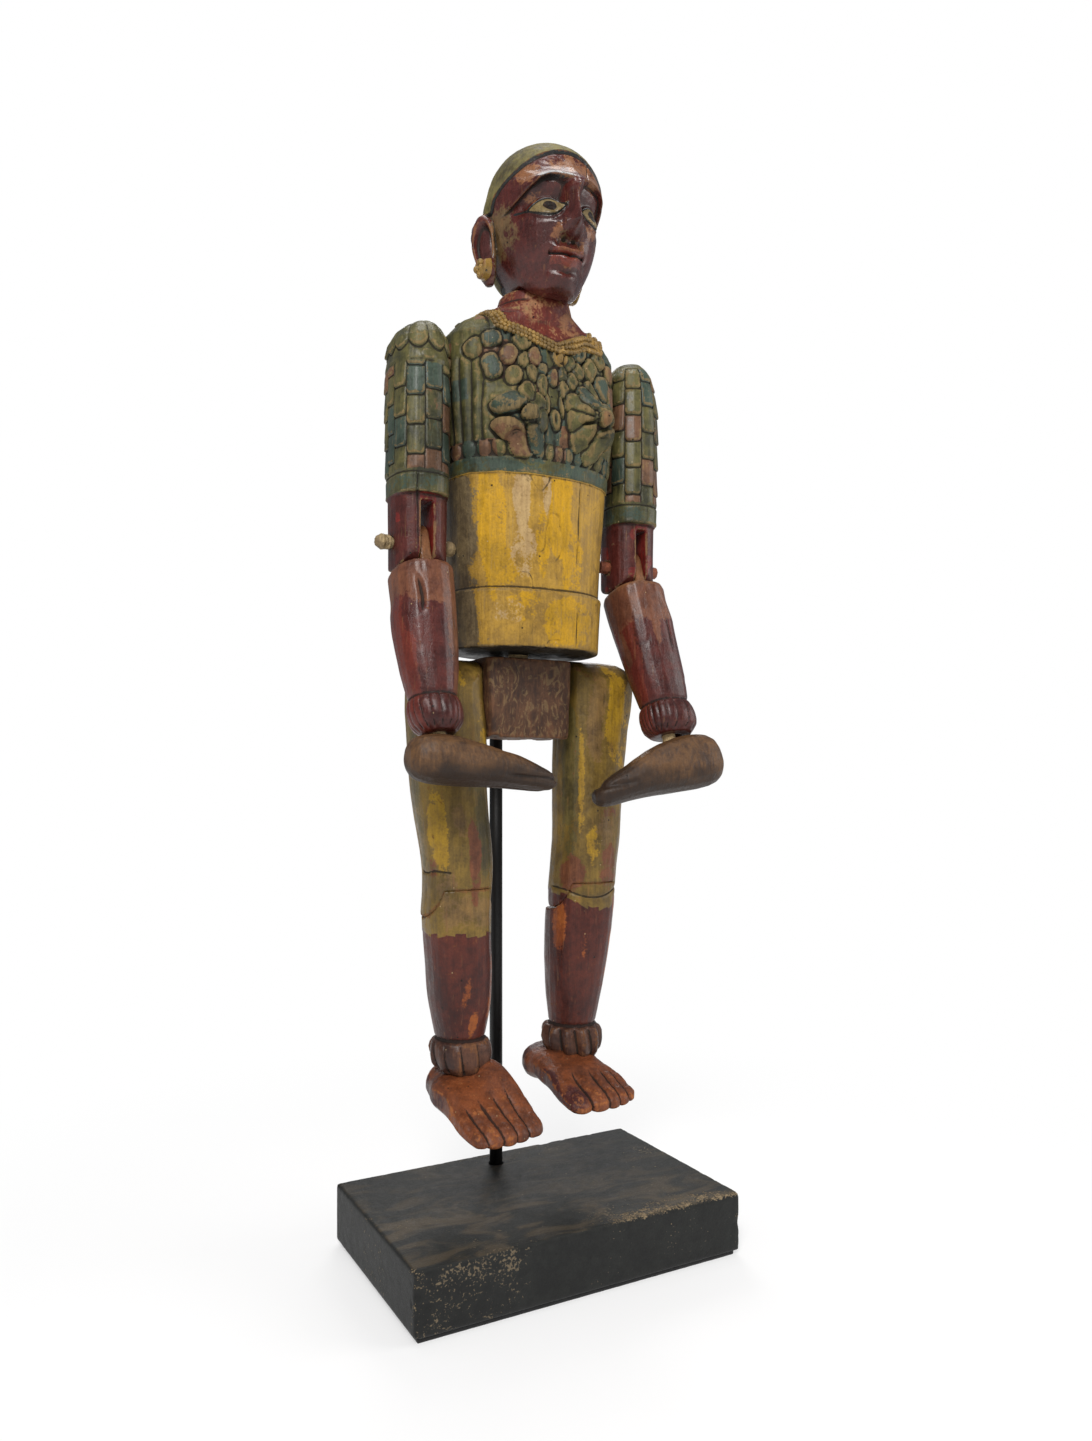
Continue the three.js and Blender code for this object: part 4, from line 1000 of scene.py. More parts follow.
    # Painted shade: downward faces low on the torso are marked to be painted near-black, as the shadow under
    # the hem.
    surface.mask("under", ramp(-surface.normals[:, 2], 0.5, 0.8) * (z < HEM_Z - 30))
    nipple = bump(turned(around, z, BREASTS[1], (4.5, 4.5), 0), 0.8)
    surface.mask("red", nipple)
    side_grime = np.maximum(1 - ramp(degrees + 12 * rough, -74, -60), ramp(degrees + 12 * rough, 58, 76))
    surface.mask("grimy", belly * side_grime * 0.9)
    surface.mask("rubbed", belly * patches(degrees, z, rough, [
        (-32, 646, 9, 34, 0.8),
        (-8, 658, 6, 26, 0.75),
        (-30, 604, 14, 26, 0.55),
        (-44, 553, 14, 10, 0.4),
    ]))
    surface.mask("bright", belly * patches(degrees, z, rough, [
        (-58, 624, 11, 60, 0.95),
        (-48, 590, 18, 16, 0.6),
        (10, 640, 16, 42, 0.9),
        (-12, 612, 9, 34, 0.65),
        (24, 600, 16, 30, 0.6),
        (18, 545, 34, 22, 0.75),
        (-30, 560, 20, 14, 0.5),
    ]))


def make_torso():
    surface = Surface(fine_copy("torso", "carved_torso", 1.25, 5))
    carve_torso(surface)
    knife_marks(surface, 0.6, 11)
    piece = dress(surface.finish(), "torso", "trunk", "blouse_paint", "torso")
    make_necklace(piece)


def bead_tree(material_made):
    """Beads along lines, as a tree whose input is the bead radius."""
    tree = bpy.data.node_groups.new("bead_rows", "GeometryNodeTree")
    tree.interface.new_socket("Geometry", in_out="INPUT", socket_type="NodeSocketGeometry")
    radius = tree.interface.new_socket("Bead radius", in_out="INPUT", socket_type="NodeSocketFloat")
    tree.interface.new_socket("Geometry", in_out="OUTPUT", socket_type="NodeSocketGeometry")
    start = tree.nodes.new("NodeGroupInput")
    end = tree.nodes.new("NodeGroupOutput")
    spacing = tree.nodes.new("ShaderNodeMath")
    spacing.operation = "MULTIPLY"
    spacing.inputs[1].default_value = BEAD_SPACING
    points = tree.nodes.new("GeometryNodeCurveToPoints")
    points.mode = "LENGTH"
    bead = tree.nodes.new("GeometryNodeMeshIcoSphere")
    bead.inputs["Subdivisions"].default_value = 3
    place = tree.nodes.new("GeometryNodeInstanceOnPoints")
    size = tree.nodes.new("FunctionNodeRandomValue")
    size.data_type = "FLOAT"
    size.inputs[2].default_value, size.inputs[3].default_value = BEAD_SIZES
    size.inputs["Seed"].default_value = 4
    real = tree.nodes.new("GeometryNodeRealizeInstances")
    finish = tree.nodes.new("GeometryNodeSetMaterial")
    finish.inputs["Material"].default_value = material_made
    for source, output, target, entry in (
        (start, "Bead radius", spacing, 0),
        (start, "Geometry", points, "Curve"),
        (spacing, 0, points, "Length"),
        (start, "Bead radius", bead, "Radius"),
        (points, "Points", place, "Points"),
        (bead, "Mesh", place, "Instance"),
        (size, 1, place, "Scale"),
        (place, "Instances", real, "Geometry"),
        (real, "Geometry", finish, "Geometry"),
        (finish, "Geometry", end, "Geometry"),
    ):
        tree.links.new(source.outputs[output], target.inputs[entry])
    return tree, radius.identifier


def neckline_points(tree, share, lift):
    """Places along the neckline's band, at that share of it and lift mm above the surface."""
    places = []
    start = Vector((NECK[0], NECK[1], NECKLINE_RAY_Z)) * MM
    for i in range(ROW_POINTS):
        turn = 2 * math.pi * i / ROW_POINTS
        low, high = math.radians(-15), math.radians(50)
        for _ in range(16):
            lean = (low + high) / 2
            way = Vector((math.sin(turn) * math.cos(lean), -math.cos(turn) * math.cos(lean), math.sin(lean)))
            hit, normal, _, _ = tree.ray_cast(start, way)
            if neckline_share(np.array([hit]) / MM)[0] > share:
                low = lean
            else:
                high = lean
        places.append(hit + normal * lift * MM)
    return places


def make_necklace(torso):
    """Rows of beads on the neckline's band."""
    tree = BVHTree.FromObject(torso, bpy.context.evaluated_depsgraph_get())
    radius = carving().bead_radius
    curve = bpy.data.curves.new("neckline", "CURVE")
    curve.dimensions = "3D"
    for share in BEAD_ROWS:
        places = neckline_points(tree, share, 0.1 * radius)
        spline = curve.splines.new("POLY")
        spline.points.add(len(places) - 1)
        for point, place in zip(spline.points, places):
            point.co = (*place, 1)
        spline.use_cyclic_u = True
    piece = new_object("necklace", curve)
    made, key = bead_tree(material("gold"))
    modifier = piece.modifiers.new("Beads", "NODES")
    modifier.node_group = made
    modifier[key] = radius * MM
    mesh = bpy.data.meshes.new_from_object(piece.evaluated_get(bpy.context.evaluated_depsgraph_get()))
    bpy.data.objects.remove(piece)
    mesh.shade_smooth()
    dress(new_object("necklace_beads", mesh), "gold", "trunk", "blouse_paint")


def make_pelvis():
    surface = Surface(fine_copy("pelvis", "pelvis_block", 1.2, 4))
    p = surface.points
    low, _ = node_box("pelvis")
    surface.carve(0.5 * layered(p * np.array([1, 1, 0.5]), 14, 12))
    curls = np.abs(noise(p, 9, 15) + 0.4 * noise(p, 5, 16))
    surface.carve(-0.5 * bump(curls, 0.06) * ramp(noise(p, 20, 31), -0.1, 0.4))
    surface.carve(-1.6 * bump(p[:, 2] - low[2], 4) * ramp(noise(p, 7, 21), 0.1, 0.7))
    dress(surface.finish(), "pelvis", "trunk", "brown_wood", "pelvis")


# Head

HEAD_X = NECK[0] + 1
HEAD_Y = NECK[1] - 12
TILT = 0.045
EYE_X = {-1: 19, 1: 24}
EYE_Z = 881
BROW_Z = 899
NOSE_TIP_Z = 866
MOUTH_Z = 844
CHIN_Z = 827
HAIR_FRONT_Z = 931
HAIR_SIDE_Z = 890
HAIR_BACK_Z = 838
EYE_HALF_WIDTH = 12
EYE_HALF_HEIGHT = 7.4
PUPIL_RADIUS = 5
MOUTH_HALF_WIDTH = 15.5
CHEEK = (27, 858)
STUD_PETALS = 5
STUD_RADIUS = 9.6
EAR_X = 50
EAR_Y = {-1: NECK[1] - 4, 1: NECK[1] + 3}
EAR_Z = {-1: 860, 1: 865}
EAR_TURN = 28
STUD_DROP = 17
LOBE_LEAN = {-1: 2, 1: 15}


def carve_face(surface):
    p = surface.points
    x = p[:, 0] - HEAD_X
    z = p[:, 2] - TILT * x
    across = np.abs(x)
    front = ramp(-surface.normals[:, 1], -0.15, 0.25) * (p[:, 1] < HEAD_Y)
    eye_x = np.where(x < 0, EYE_X[-1], EYE_X[1])
    brow_line = BROW_Z + 0.05 * x + 7 * bump(across - 20, 12) - 12 * ramp(across, 28, 46)
    under = brow_line - z
    beside_nose = ramp(across, 4.5, 9.5)
    socket = 8.5 * ramp(under, 0, 2.5) * (1 - ramp(under, 10, 32)) * beside_nose * (1 - ramp(across, 38, 48))
    ridge = 1.6 * bump(under + 3.5, 4.5) * window(across, 3, 44, 4)
    u = (across - eye_x) / EYE_HALF_WIDTH
    v = (z - EYE_Z + 0.06 * (across - eye_x)) / EYE_HALF_HEIGHT
    almond = np.clip(1 - u**2, 0, 1) ** 0.8
    in_eye = ramp(almond - np.abs(v), -0.06, 0.08) * (np.abs(u) < 1)
    ball = 5.5 * dome(np.hypot(u * 0.9, v * 0.75)) * in_eye
    lids = 2.2 * bump(np.abs(v) - almond - 0.2, 0.2) * (np.abs(u) < 1.1)
    pouch = 1.4 * bump(z - EYE_Z + 13, 4) * bump(across - eye_x, 10)
    bridge = 3.2 * bump(x, 3.8) * window(z, NOSE_TIP_Z - 3, BROW_Z - 2, 4)
    wings = 3.6 * bump(np.hypot(across - 8.5, z - NOSE_TIP_Z + 3), 4.2)
    nostrils = -4.0 * bump(np.hypot(across - 4.6, (z - NOSE_TIP_Z + 8.5) * 1.2), 2.6)
    under_nose = -3.2 * bump(z - NOSE_TIP_Z + 11, 3.2) * bump(across, 12)
    half = MOUTH_HALF_WIDTH
    lip_span = np.clip(1 - (across / half) ** 2, 0, 1)
    mouth_line = MOUTH_Z - 1.2 * bump(across, 3.5) + 0.008 * x**2
    upper = 3.0 * lip_span * bump(z - mouth_line - 3.4, 2.5)
    lower = 3.8 * lip_span * bump(z - mouth_line + 4.4, 3.4)
    parting = -3.4 * bump(z - mouth_line, 1.2) * (across < half + 1)
    corners = -1.6 * bump(np.hypot(across - half - 0.5, z - mouth_line), 3.2)
    under_lip = -2.6 * bump(z - mouth_line + 11, 3) * bump(across, 11)
    chin = 2.4 * dome(np.hypot(x / 15, (z - CHIN_Z - 3) / 12))
    cheek = 2.4 * dome(np.hypot((across - CHEEK[0]) / 17, (z - CHEEK[1]) / 24))
    philtrum = -0.9 * bump(x, 1.8) * window(z, mouth_line + 6, NOSE_TIP_Z - 11, 1.5)
    total = -socket + ridge + ball + lids + pouch + bridge + wings + nostrils + under_nose
    total = total + upper + lower + parting + corners + under_lip + chin + cheek + philtrum
    surface.shove(FRONT, front * total)
    from_pupil = np.hypot(across - eye_x + 1, z - EYE_Z - 0.4)
    pupil = 1 - ramp(from_pupil, PUPIL_RADIUS - 0.6, PUPIL_RADIUS + 0.4)
    lips = np.maximum(bump(z - mouth_line + 4.4, 3.4), 0.6 * bump(z - mouth_line - 2.8, 2.2))
    surface.mask("lips", front * ramp(lip_span, 0.02, 0.2) * lips * 1.4)
    surface.mask("white", front * in_eye)
    surface.mask("iris", front * in_eye * pupil)
    wing = bump(z - EYE_Z - 0.5 - 0.12 * (across - 34), 1.3) * window(across, 31, 38, 1.5)
    liner = np.maximum(bump(np.abs(v) - almond - 0.1, 0.2) * (np.abs(u) < 1.1), wing)
    ragged = 1.6 * noise(p, 6, 71)
    painted_brow = bump(under + 1.2 + ragged, 3.6) * window(across, 5, 30, 3) * (1 - 0.8 * ramp(x, 0, 8))
    dots = bump(from_pupil, 1.8)
    parting_line = 0.7 * bump(z - mouth_line, 0.8) * (across < half)
    dark = np.maximum.reduce([0.9 * liner, painted_brow, 0.9 * dots, parting_line])
    return front * dark


def carve_hair(surface, dark_lines):
    p = surface.points
    z = p[:, 2]
    angle = np.abs(round_angle(p, HEAD_X, HEAD_Y))
    share = np.clip(angle / (math.pi / 2), 0, 1)
    line = HAIR_FRONT_Z - (HAIR_FRONT_Z - HAIR_SIDE_Z) * share**1.8
    behind = ramp(angle, 1.7, 2.05)
    line = line * (1 - behind) + HAIR_BACK_Z * behind
    on_head = 1 - ramp(np.abs(p[:, 0] - HEAD_X), 50, 52)
    hair = ramp(z - line + 0.5 * noise(p, 8, 3), -0.5, 0.5) * on_head
    surface.carve(1.5 * hair - 0.5 * bump(z - line + 1.4, 1.0) * on_head)
    surface.carve(0.25 * hair * layered(p, 6, 5))
    surface.mask("hair", hair)
    border = bump(z - line + 0.2, 1.6) * on_head
    surface.mask("line", np.maximum(dark_lines, border))


def carve_ears(surface):
    """Hollows the ear cups, in a frame that turns with each ear."""
    p = surface.points
    z = p[:, 2]
    cup = gold = np.zeros(len(p))
    for side in (-1, 1):
        c, s = math.cos(math.radians(EAR_TURN)), math.sin(math.radians(EAR_TURN))
        dx = side * (p[:, 0] - HEAD_X) - EAR_X
        dy = p[:, 1] - EAR_Y[side]
        outward = dx * c - dy * s
        along = dx * s + dy * c
        oval = np.hypot(along / 9.5, (z - EAR_Z[side] - 3) / 22)
        on_ear = ramp(outward, 1, 3) * (1 - ramp(oval, 0.72, 1.0)) * (np.abs(dx) < 16)
        surface.shove(np.array([-side * c, s, 0]), 5.5 * on_ear)
        rim = bump((oval - 1.08) * 9, 1.8) * ramp(outward, 0, 2) * (np.abs(dx) < 16)
        surface.carve(0.9 * rim)
        cup = np.maximum(cup, on_ear)
        lobe = ramp(dx, -8, -2) * ramp(EAR_Z[side] + 6 - z, 0, 26)
        surface.shove(-side * RIGHT_TO_LEFT, LOBE_LEAN[side] * lobe)
        surface.shove(BACK, (5 if side > 0 else -2) * lobe)
        stud_z = EAR_Z[side] - STUD_DROP
        gold = np.maximum(gold, ramp(outward, 3, 4) * (np.hypot(along, z - stud_z) < STUD_RADIUS))
    surface.mask("cup", cup)
    surface.mask("gold", gold)


def make_head():
    surface = Surface(fine_copy("head", "carved_head", 0.85, 6))
    p = surface.points
    lines = carve_face(surface)
    carve_ears(surface)
    carve_hair(surface, lines)
    rough = layered(p, 9, 12)
    x = p[:, 0] - HEAD_X
    surface.mask("ochre", patches(x, p[:, 2], rough, [
        (14, 917, 24, 13, 0.85),
        (-36, 910, 10, 11, 0.75),
        (-12, 916, 14, 8, 0.6),
        (-13, 858, 5, 9, 0.75),
        (10, 852, 7, 9, 0.55),
        (24, 868, 12, 10, 0.55),
        (40, 874, 8, 20, 0.6),
        (0, 836, 8, 4, 0.45),
        (-30, 890, 9, 5, 0.45),
    ], 0.2))
    surface.mask("khaki", patches(x, p[:, 2], rough, [(-45, 860, 8, 36, 0.8), (-4, 857, 16, 4, 0.5)], 0.2))
    surface.shove(RIGHT_TO_LEFT, 3 * ramp(p[:, 2], 890, 915))
    crack = bump(x - 14 - 0.3 * (p[:, 2] - 915) - 0.8 * noise(p, 7, 81), 0.6) * window(p[:, 2], 904, 928, 2)
    surface.carve(-1.0 * crack * (p[:, 1] < HEAD_Y))
    knife_marks(surface, 0.5, 3)
    dress(surface.finish(), "head", "head", "skin_paint", "head")
    for side in (-1, 1):
        make_ear_stud(side)


def make_ear_stud(side):
    """A gold flower on the ear lobe: petals round a domed middle."""
    c, s = math.cos(math.radians(EAR_TURN)), math.sin(math.radians(EAR_TURN))
    out = np.array([side * c, -s, 0])
    forward = np.array([side * s, c, 0])
    lean = LOBE_LEAN[side]
    drop_back = 2 if side > 0 else -5
    place = np.array([HEAD_X + side * (EAR_X + 7 - lean), EAR_Y[side] + drop_back, EAR_Z[side] - STUD_DROP])
    work = bmesh.new()
    for i in range(STUD_PETALS + 1):
        centre = i == STUD_PETALS
        turn = 2 * math.pi * i / STUD_PETALS
        ring = 0 if centre else 5.4
        middle = place + forward * ring * math.cos(turn) + UP * ring * math.sin(turn)
        middle = middle + out * (1.5 if centre else 0)
        made = bmesh.ops.create_icosphere(work, subdivisions=3, radius=(2.6 if centre else 3.2) * MM)
        bmesh.ops.translate(work, verts=made["verts"], vec=Vector(middle) * MM)
    mesh = bpy.data.meshes.new("ear_stud")
    work.to_mesh(mesh)
    work.free()
    mesh.shade_smooth()
    name = "ear_stud_right" if side < 0 else "ear_stud_left"
    dress(new_object(name, mesh), "gold", "head", "skin_paint")


# Arms

SLEEVE_TOP_ROW_Z = 750
CUFF_TOP_Z = 660
CUFF_BOTTOM_Z = 645
CAP_PETALS = 11
CAP_PETAL_TIP_Z = 762
CAP_PETAL_TOP_Z = 788
TILES_TOP_Z = {-1: SLEEVE_TOP_ROW_Z, 1: 790}
FORK_CRACK_Z = 598


def carve_sleeve(surface, side):
    p = surface.points
    x, _, z = p.T
    elbow = joint_place("elbow_right" if side < 0 else "elbow_left")
    angle = round_angle(p, elbow[0], elbow[1])
    sizes = carving()
    column = angle / (2 * math.pi) * sizes.tile_columns + 0.3
    index = np.floor(column)
    cells = np.stack([index, index * 0 + side, index * 0], -1)
    shift = lattice(cells, 11)
    across = 2 * (np.mod(column, 1) - 0.5)
    drop = SLEEVE_TOP_ROW_Z - z + 0.6 * noise(p, 9, 5)
    rise = drop / sizes.tile_height + 0.5 * np.mod(index, 2) + 0.4 * shift
    down = np.mod(rise, 1)
    row = np.floor(rise)
    tint = lattice(np.stack([index, row, row * 0 + side], -1), 7)
    corner = np.hypot(np.clip((np.abs(across) - 0.55) / 0.45, 0, 1), np.clip((down - 0.8) / 0.2, 0, 1))
    tile = (1 - ramp(corner, 0.75, 1.0)) * (0.45 + 0.55 * down) * ramp(down, 0.0, 0.05)
    crown = 0.25 * (1 - across**2)
    on_tiles = window(z, CUFF_TOP_Z + 3, TILES_TOP_Z[side], 1.5)
    surface.carve(on_tiles * sizes.tile_depth * (tile * (0.9 + crown) - 0.5))
    if side < 0:
        lotus = 2 * (np.mod(angle / (2 * math.pi) * CAP_PETALS + 0.1, 1) - 0.5)
        tip = CAP_PETAL_TIP_Z + 8 * np.abs(lotus) ** 2
        petal = ramp(z, tip - 1, tip + 1) * (1 - ramp(z, CAP_PETAL_TOP_Z - 5, CAP_PETAL_TOP_Z + 5))
        surface.carve(petal * 1.9 * (0.35 + dome(lotus * 0.98)) - 0.5 * bump(z - tip + 1, 1.4))
        star = turned(angle * 25, z, (-2, 756), (6, 5), 0)
        surface.carve(1.0 * (1 - ramp(star, 0.7, 1.0)))
    collar = 0.5 * bump(z - SLEEVE_TOP_ROW_Z - 3, 1.6) * (side < 0)
    groove = 0.9 * bump(z - CUFF_TOP_Z - 0.8, 0.9)
    surface.carve(collar - groove + 0.4 * bump(z - CUFF_BOTTOM_Z - 1, 1.6))
    crack_line = angle - (-0.35 if side < 0 else 0.9) - 0.04 * noise(p, 14, 8)
    below_cuff = 1 - ramp(z, CUFF_TOP_Z - 2, CUFF_TOP_Z + 2)
    surface.carve(-1.3 * (bump(crack_line, 0.035) * below_cuff * ramp(z, FORK_CRACK_Z - 6, FORK_CRACK_Z + 6)))
    blouse = ramp(z + 0.5 * noise(p, 6, 8), CUFF_BOTTOM_Z - 0.8, CUFF_BOTTOM_Z + 0.8)
    surface.mask("blouse", blouse)
    cuff = window(z, CUFF_BOTTOM_Z, CUFF_TOP_Z, 0.5)
    surface.mask("blue", blouse * np.maximum(0.8 * on_tiles * ramp(tint, 0.66, 0.74), 0.45 * cuff))
    surface.mask("rosy", 0.8 * on_tiles * (1 - ramp(tint, 0.28, 0.36)))
    outer = ramp(side * (x - elbow[0]), -5, 20)
    if side < 0:
        surface.shove(UP, -5 * outer * ramp(z, 758, 784))
    else:
        surface.shove(UP, -3 * ramp(z, 762, 790))
        surface.shove(-RIGHT_TO_LEFT, outer * (1.5 + 2.5 * ramp(z, 740, 775)))
    inner_faces = 1 - ramp(np.abs(x - elbow[0]), 5.5, 8.5)
    surface.mask("red", (1 - blouse) * np.maximum(inner_faces, ramp(noise(p, 12, 9), 0.2, 0.6)))


def make_upper_arms():
    for name, side in SIDES.items():
        surface = Surface(fine_copy(f"upper_arm_{name}", f"carved_sleeve_{name}", 1.05, 3))
        carve_sleeve(surface, side)
        knife_marks(surface, 0.6, 20 + side)
        dress(surface.finish(), "sleeve", f"upper_arm_{name}", "blouse_paint", f"upper_arm_{name}")


# Heights on a forearm are counted down from the elbow
BANGLE = (-164, -138)
BANGLE_LOBES = 9


def forearm_frame(points, name):
    """Points seen from the elbow, with the forearm hanging straight down and its front at -Y."""
    elbow = joint_place(f"elbow_{name}")
    wrist = joint_place(f"wrist_{name}")
    down = (wrist - elbow) / np.linalg.norm(wrist - elbow)
    forward = np.cross([1, 0, 0], down)
    forward *= -np.sign(forward[1]) / np.linalg.norm(forward)
    local = points - elbow
    return np.stack([local[:, 0], -(local @ forward), local @ -down], -1)


def make_forearms():
    for name, side in SIDES.items():
        surface = Surface(fine_copy(f"forearm_{name}", f"painted_forearm_{name}", 1.0, 4))
        local = forearm_frame(surface.points, name)
        angle = np.arctan2(local[:, 0], -local[:, 1])
        up = local[:, 2]
        bangle = window(up, *BANGLE, 1.5)
        lobe = np.abs(np.cos(angle * BANGLE_LOBES))
        surface.carve(bangle * (1.6 * (lobe**0.5 - 0.7)))
        surface.carve(-0.9 * bump(up - BANGLE[1] - 1.5, 1.6))
        middle = -0.42 if side < 0 else 0.35
        length = window(up, -68, -42, 6) if side < 0 else 0.35 * window(up, -90, -40, 8)
        line = angle - middle - 0.06 * noise(local, 12, 4) + 0.004 * (up + 56)
        surface.carve(-3.0 * bump(line, 0.05 + 0.04 * bump(up + 52, 14)) * length)
        outer = ramp(side * local[:, 0], -2, 18)
        wider = 3.5 * window(up, -150, -60, 16) if side < 0 else 3 + 4 * ramp(-up, 60, 140)
        surface.shove(side * RIGHT_TO_LEFT, wider * outer * ramp(-up, 40, 62))
        knife_marks(surface, 1.0, 30 + side)
        rough = layered(local * ALONG_GRAIN, 14, 50 + side)
        surface.mask("tongue", ramp(up, -27, -24) + 0.5 * ramp(up, -36, -28) * (side > 0))
        top = ramp(up + 16 * rough, -74, -48)
        inner = ramp(side * -angle + 0.5 * rough, 0.15, 0.6) if side < 0 else ramp(rough, 0.1, 0.5)
        surface.mask("brown", np.maximum(0.9 * top, 0.85 * inner * ramp(up, -138, -132)))
        surface.mask("red", ramp(-angle + 0.6 * rough, 0.5, 1.1))
        dress(surface.finish(), "forearm", f"forearm_{name}", "skin_paint", f"forearm_{name}")


def make_elbow_pins():
    for node, body, finish in (
        ("elbow_pin_right", "upper_arm_right", "pin"),
        ("elbow_pin_cap_right", "upper_arm_right", "pin"),
        ("elbow_pin_left", "upper_arm_left", "dowel"),
    ):
        surface = Surface(fine_copy(node, f"whittled_{node}", 0.5, 2))
        p = surface.points
        low, high = node_box(node)
        centre = joint_place("elbow_right" if "right" in node else "elbow_left")
        off_axis = np.hypot(p[:, 1] - centre[1], p[:, 2] - centre[2])
        facets = np.abs(np.mod(np.arctan2(p[:, 2] - centre[2], p[:, 1] - centre[1]) / (math.pi / 4), 1) - 0.5)
        surface.carve(0.25 * layered(p, 4, 6) + 0.5 * (facets - 0.25))
        if node == "elbow_pin_right":
            surface.shove(np.array([-1, 0, 0]), 2.5 * bump(off_axis, 2.0) * (p[:, 0] > high[0] - 4))
        if node == "elbow_pin_cap_right":
            surface.carve(-1.2 * bump(np.hypot(p[:, 0] - high[0] + 3.5, p[:, 1] - low[1] - 2), 1.6))
        dress(surface.finish(), finish, body, "pale_wood", node)


FINGER_GROOVES = (-9.5, 0.0, 9.5)


def make_hands():
    for name, side in SIDES.items():
        surface = Surface(fine_copy(f"hand_{name}", f"carved_hand_{name}", 1.0, 4))
        p = surface.points
        wrist = joint_place(f"wrist_{name}")
        low, high = node_box(f"hand_{name}")
        inward = -side * (p[:, 0] - wrist[0])
        across = p[:, 1] - wrist[1]
        if side > 0:
            across = across - 0.16 * inward
        fingers = ramp(inward, 34, 56)
        for place in FINGER_GROOVES:
            narrow = place * (1 - 0.004 * (inward - 40))
            surface.carve(-1.8 * fingers * bump(across - narrow, 1.5))
        share = (p[:, 2] - low[2]) / (high[2] - low[2])
        thumb = 0.34 - 0.0012 * inward if side < 0 else 0.42 - 0.0018 * inward
        surface.carve(-2.6 * ramp(inward, 44, 60) * bump((share - thumb) * 40, 1.8))
        surface.shove(BACK, -1.5 * bump(inward - 26, 14) * window(share, 0.3, 0.9, 0.1) * np.sign(across))
        surface.carve(0.9 * layered(p * np.array([0.4, 1, 1]), 16, 40 + side))
        upper = ramp(share, 0.35, 0.8)
        fuller = 4 * window(inward, 60, 116, 14) if side < 0 else -(1 - ramp(inward, -6, 22))
        surface.shove(UP, upper * fuller)
        # Painted shade: the lower part of the hand is marked to be painted darker, as the shadow on its
        # underside.
        surface.mask("under", 1 - ramp(share + 0.12 * noise(p, 12, 6) - 0.0006 * inward, 0.3, 0.62))
        dress(surface.finish(), "hand", f"hand_{name}", "hand_wood", f"hand_{name}")


# Legs

TROUSER_END_Z = {"right": 280, "left": 306}
ANKLET_TOP_Z = 188
ANKLET_RING = (2, 25)
ANKLET_HEIGHT = 27
ANKLET_LOBES = 5.5
KNEE_SEAM_Z = {"right": 333, "left": 311}

# Paint on the trousers: turn round the leg in degrees, height, half sizes and strength
LEG_PATCHES = {
    "right": {
        "bright": [
            (-46, 366, 18, 36, 0.95),
            (-30, 462, 20, 20, 0.6),
            (40, 430, 16, 30, 0.6),
            (-8, 500, 20, 14, 0.5),
        ],
        "rubbed": [(-14, 378, 14, 18, 0.8), (0, 300, 60, 16, 0.75), (-40, 318, 26, 16, 0.6)],
        "grimy": [(30, 372, 22, 46, 0.8), (-88, 400, 18, 90, 0.6), (20, 420, 30, 24, 0.85)],
        "brown": [(6, 350, 9, 30, 0.9), (10, 318, 8, 20, 0.7), (-60, 336, 14, 12, 0.6)],
    },
    "left": {
        "bright": [
            (34, 470, 16, 44, 0.95),
            (-32, 410, 7, 52, 0.8),
            (-12, 352, 14, 24, 0.7),
            (60, 430, 20, 50, 0.5),
        ],
        "rubbed": [(-4, 470, 18, 44, 0.85), (12, 366, 20, 20, 0.7)],
        "grimy": [(-62, 430, 24, 70, 0.9), (-50, 366, 16, 40, 0.6), (0, 398, 30, 10, 0.5)],
        "brown": [(-42, 326, 30, 17, 0.95), (16, 332, 24, 22, 0.7), (20, 382, 22, 7, 0.6)],
    },
}
SHIN_ORANGE = {
    "right": [(62, 236, 18, 40, 0.7), (8, 232, 9, 18, 0.6), (24, 202, 8, 12, 0.7)],
    "left": [
        (-62, 282, 16, 30, 0.95),
        (34, 246, 12, 34, 0.8),
        (44, 296, 14, 14, 0.9),
        (-20, 262, 8, 26, 0.4),
    ],
}


def bend_leg(surface, name, side):
    """Small differences of the two legs from their plain outlines."""
    p = surface.points
    z = p[:, 2]
    inner = ramp(-side * (p[:, 0] - joint_place(f"knee_{name}")[0]), -10, 20)
    if side < 0:
        surface.shove(RIGHT_TO_LEFT, 4.5 * bump(z - 338, 42) + 3.5 * inner * window(z, 200, 470, 20))
        surface.shove(-RIGHT_TO_LEFT, 2.5 * (1 - inner) * bump(z - 225, 35))
    else:
        surface.shove(-RIGHT_TO_LEFT, inner * (1 + 5.5 * bump(z - 285, 55)) * ramp(z, 190, 215))
        surface.shove(UP, 5 * ramp(z, 478, 508))
        surface.shove(RIGHT_TO_LEFT, 6 * (1 - inner) * ramp(z, 450, 500))


def slope_ankle(surface, name):
    """The joint between shin and foot slopes down to the front, on both pieces alike."""
    p = surface.points
    back = p[:, 1] - joint_place(f"knee_{name}")[1] - 1
    z = p[:, 2]
    share = ramp(z, 125, 158) * (1 - ramp(z, 160, ANKLET_TOP_Z))
    surface.shove(UP, share * (11 * ramp(back, 0, 26) - 4 * ramp(-back, 0, 24) * (1 - ramp(-back, 28, 45))))


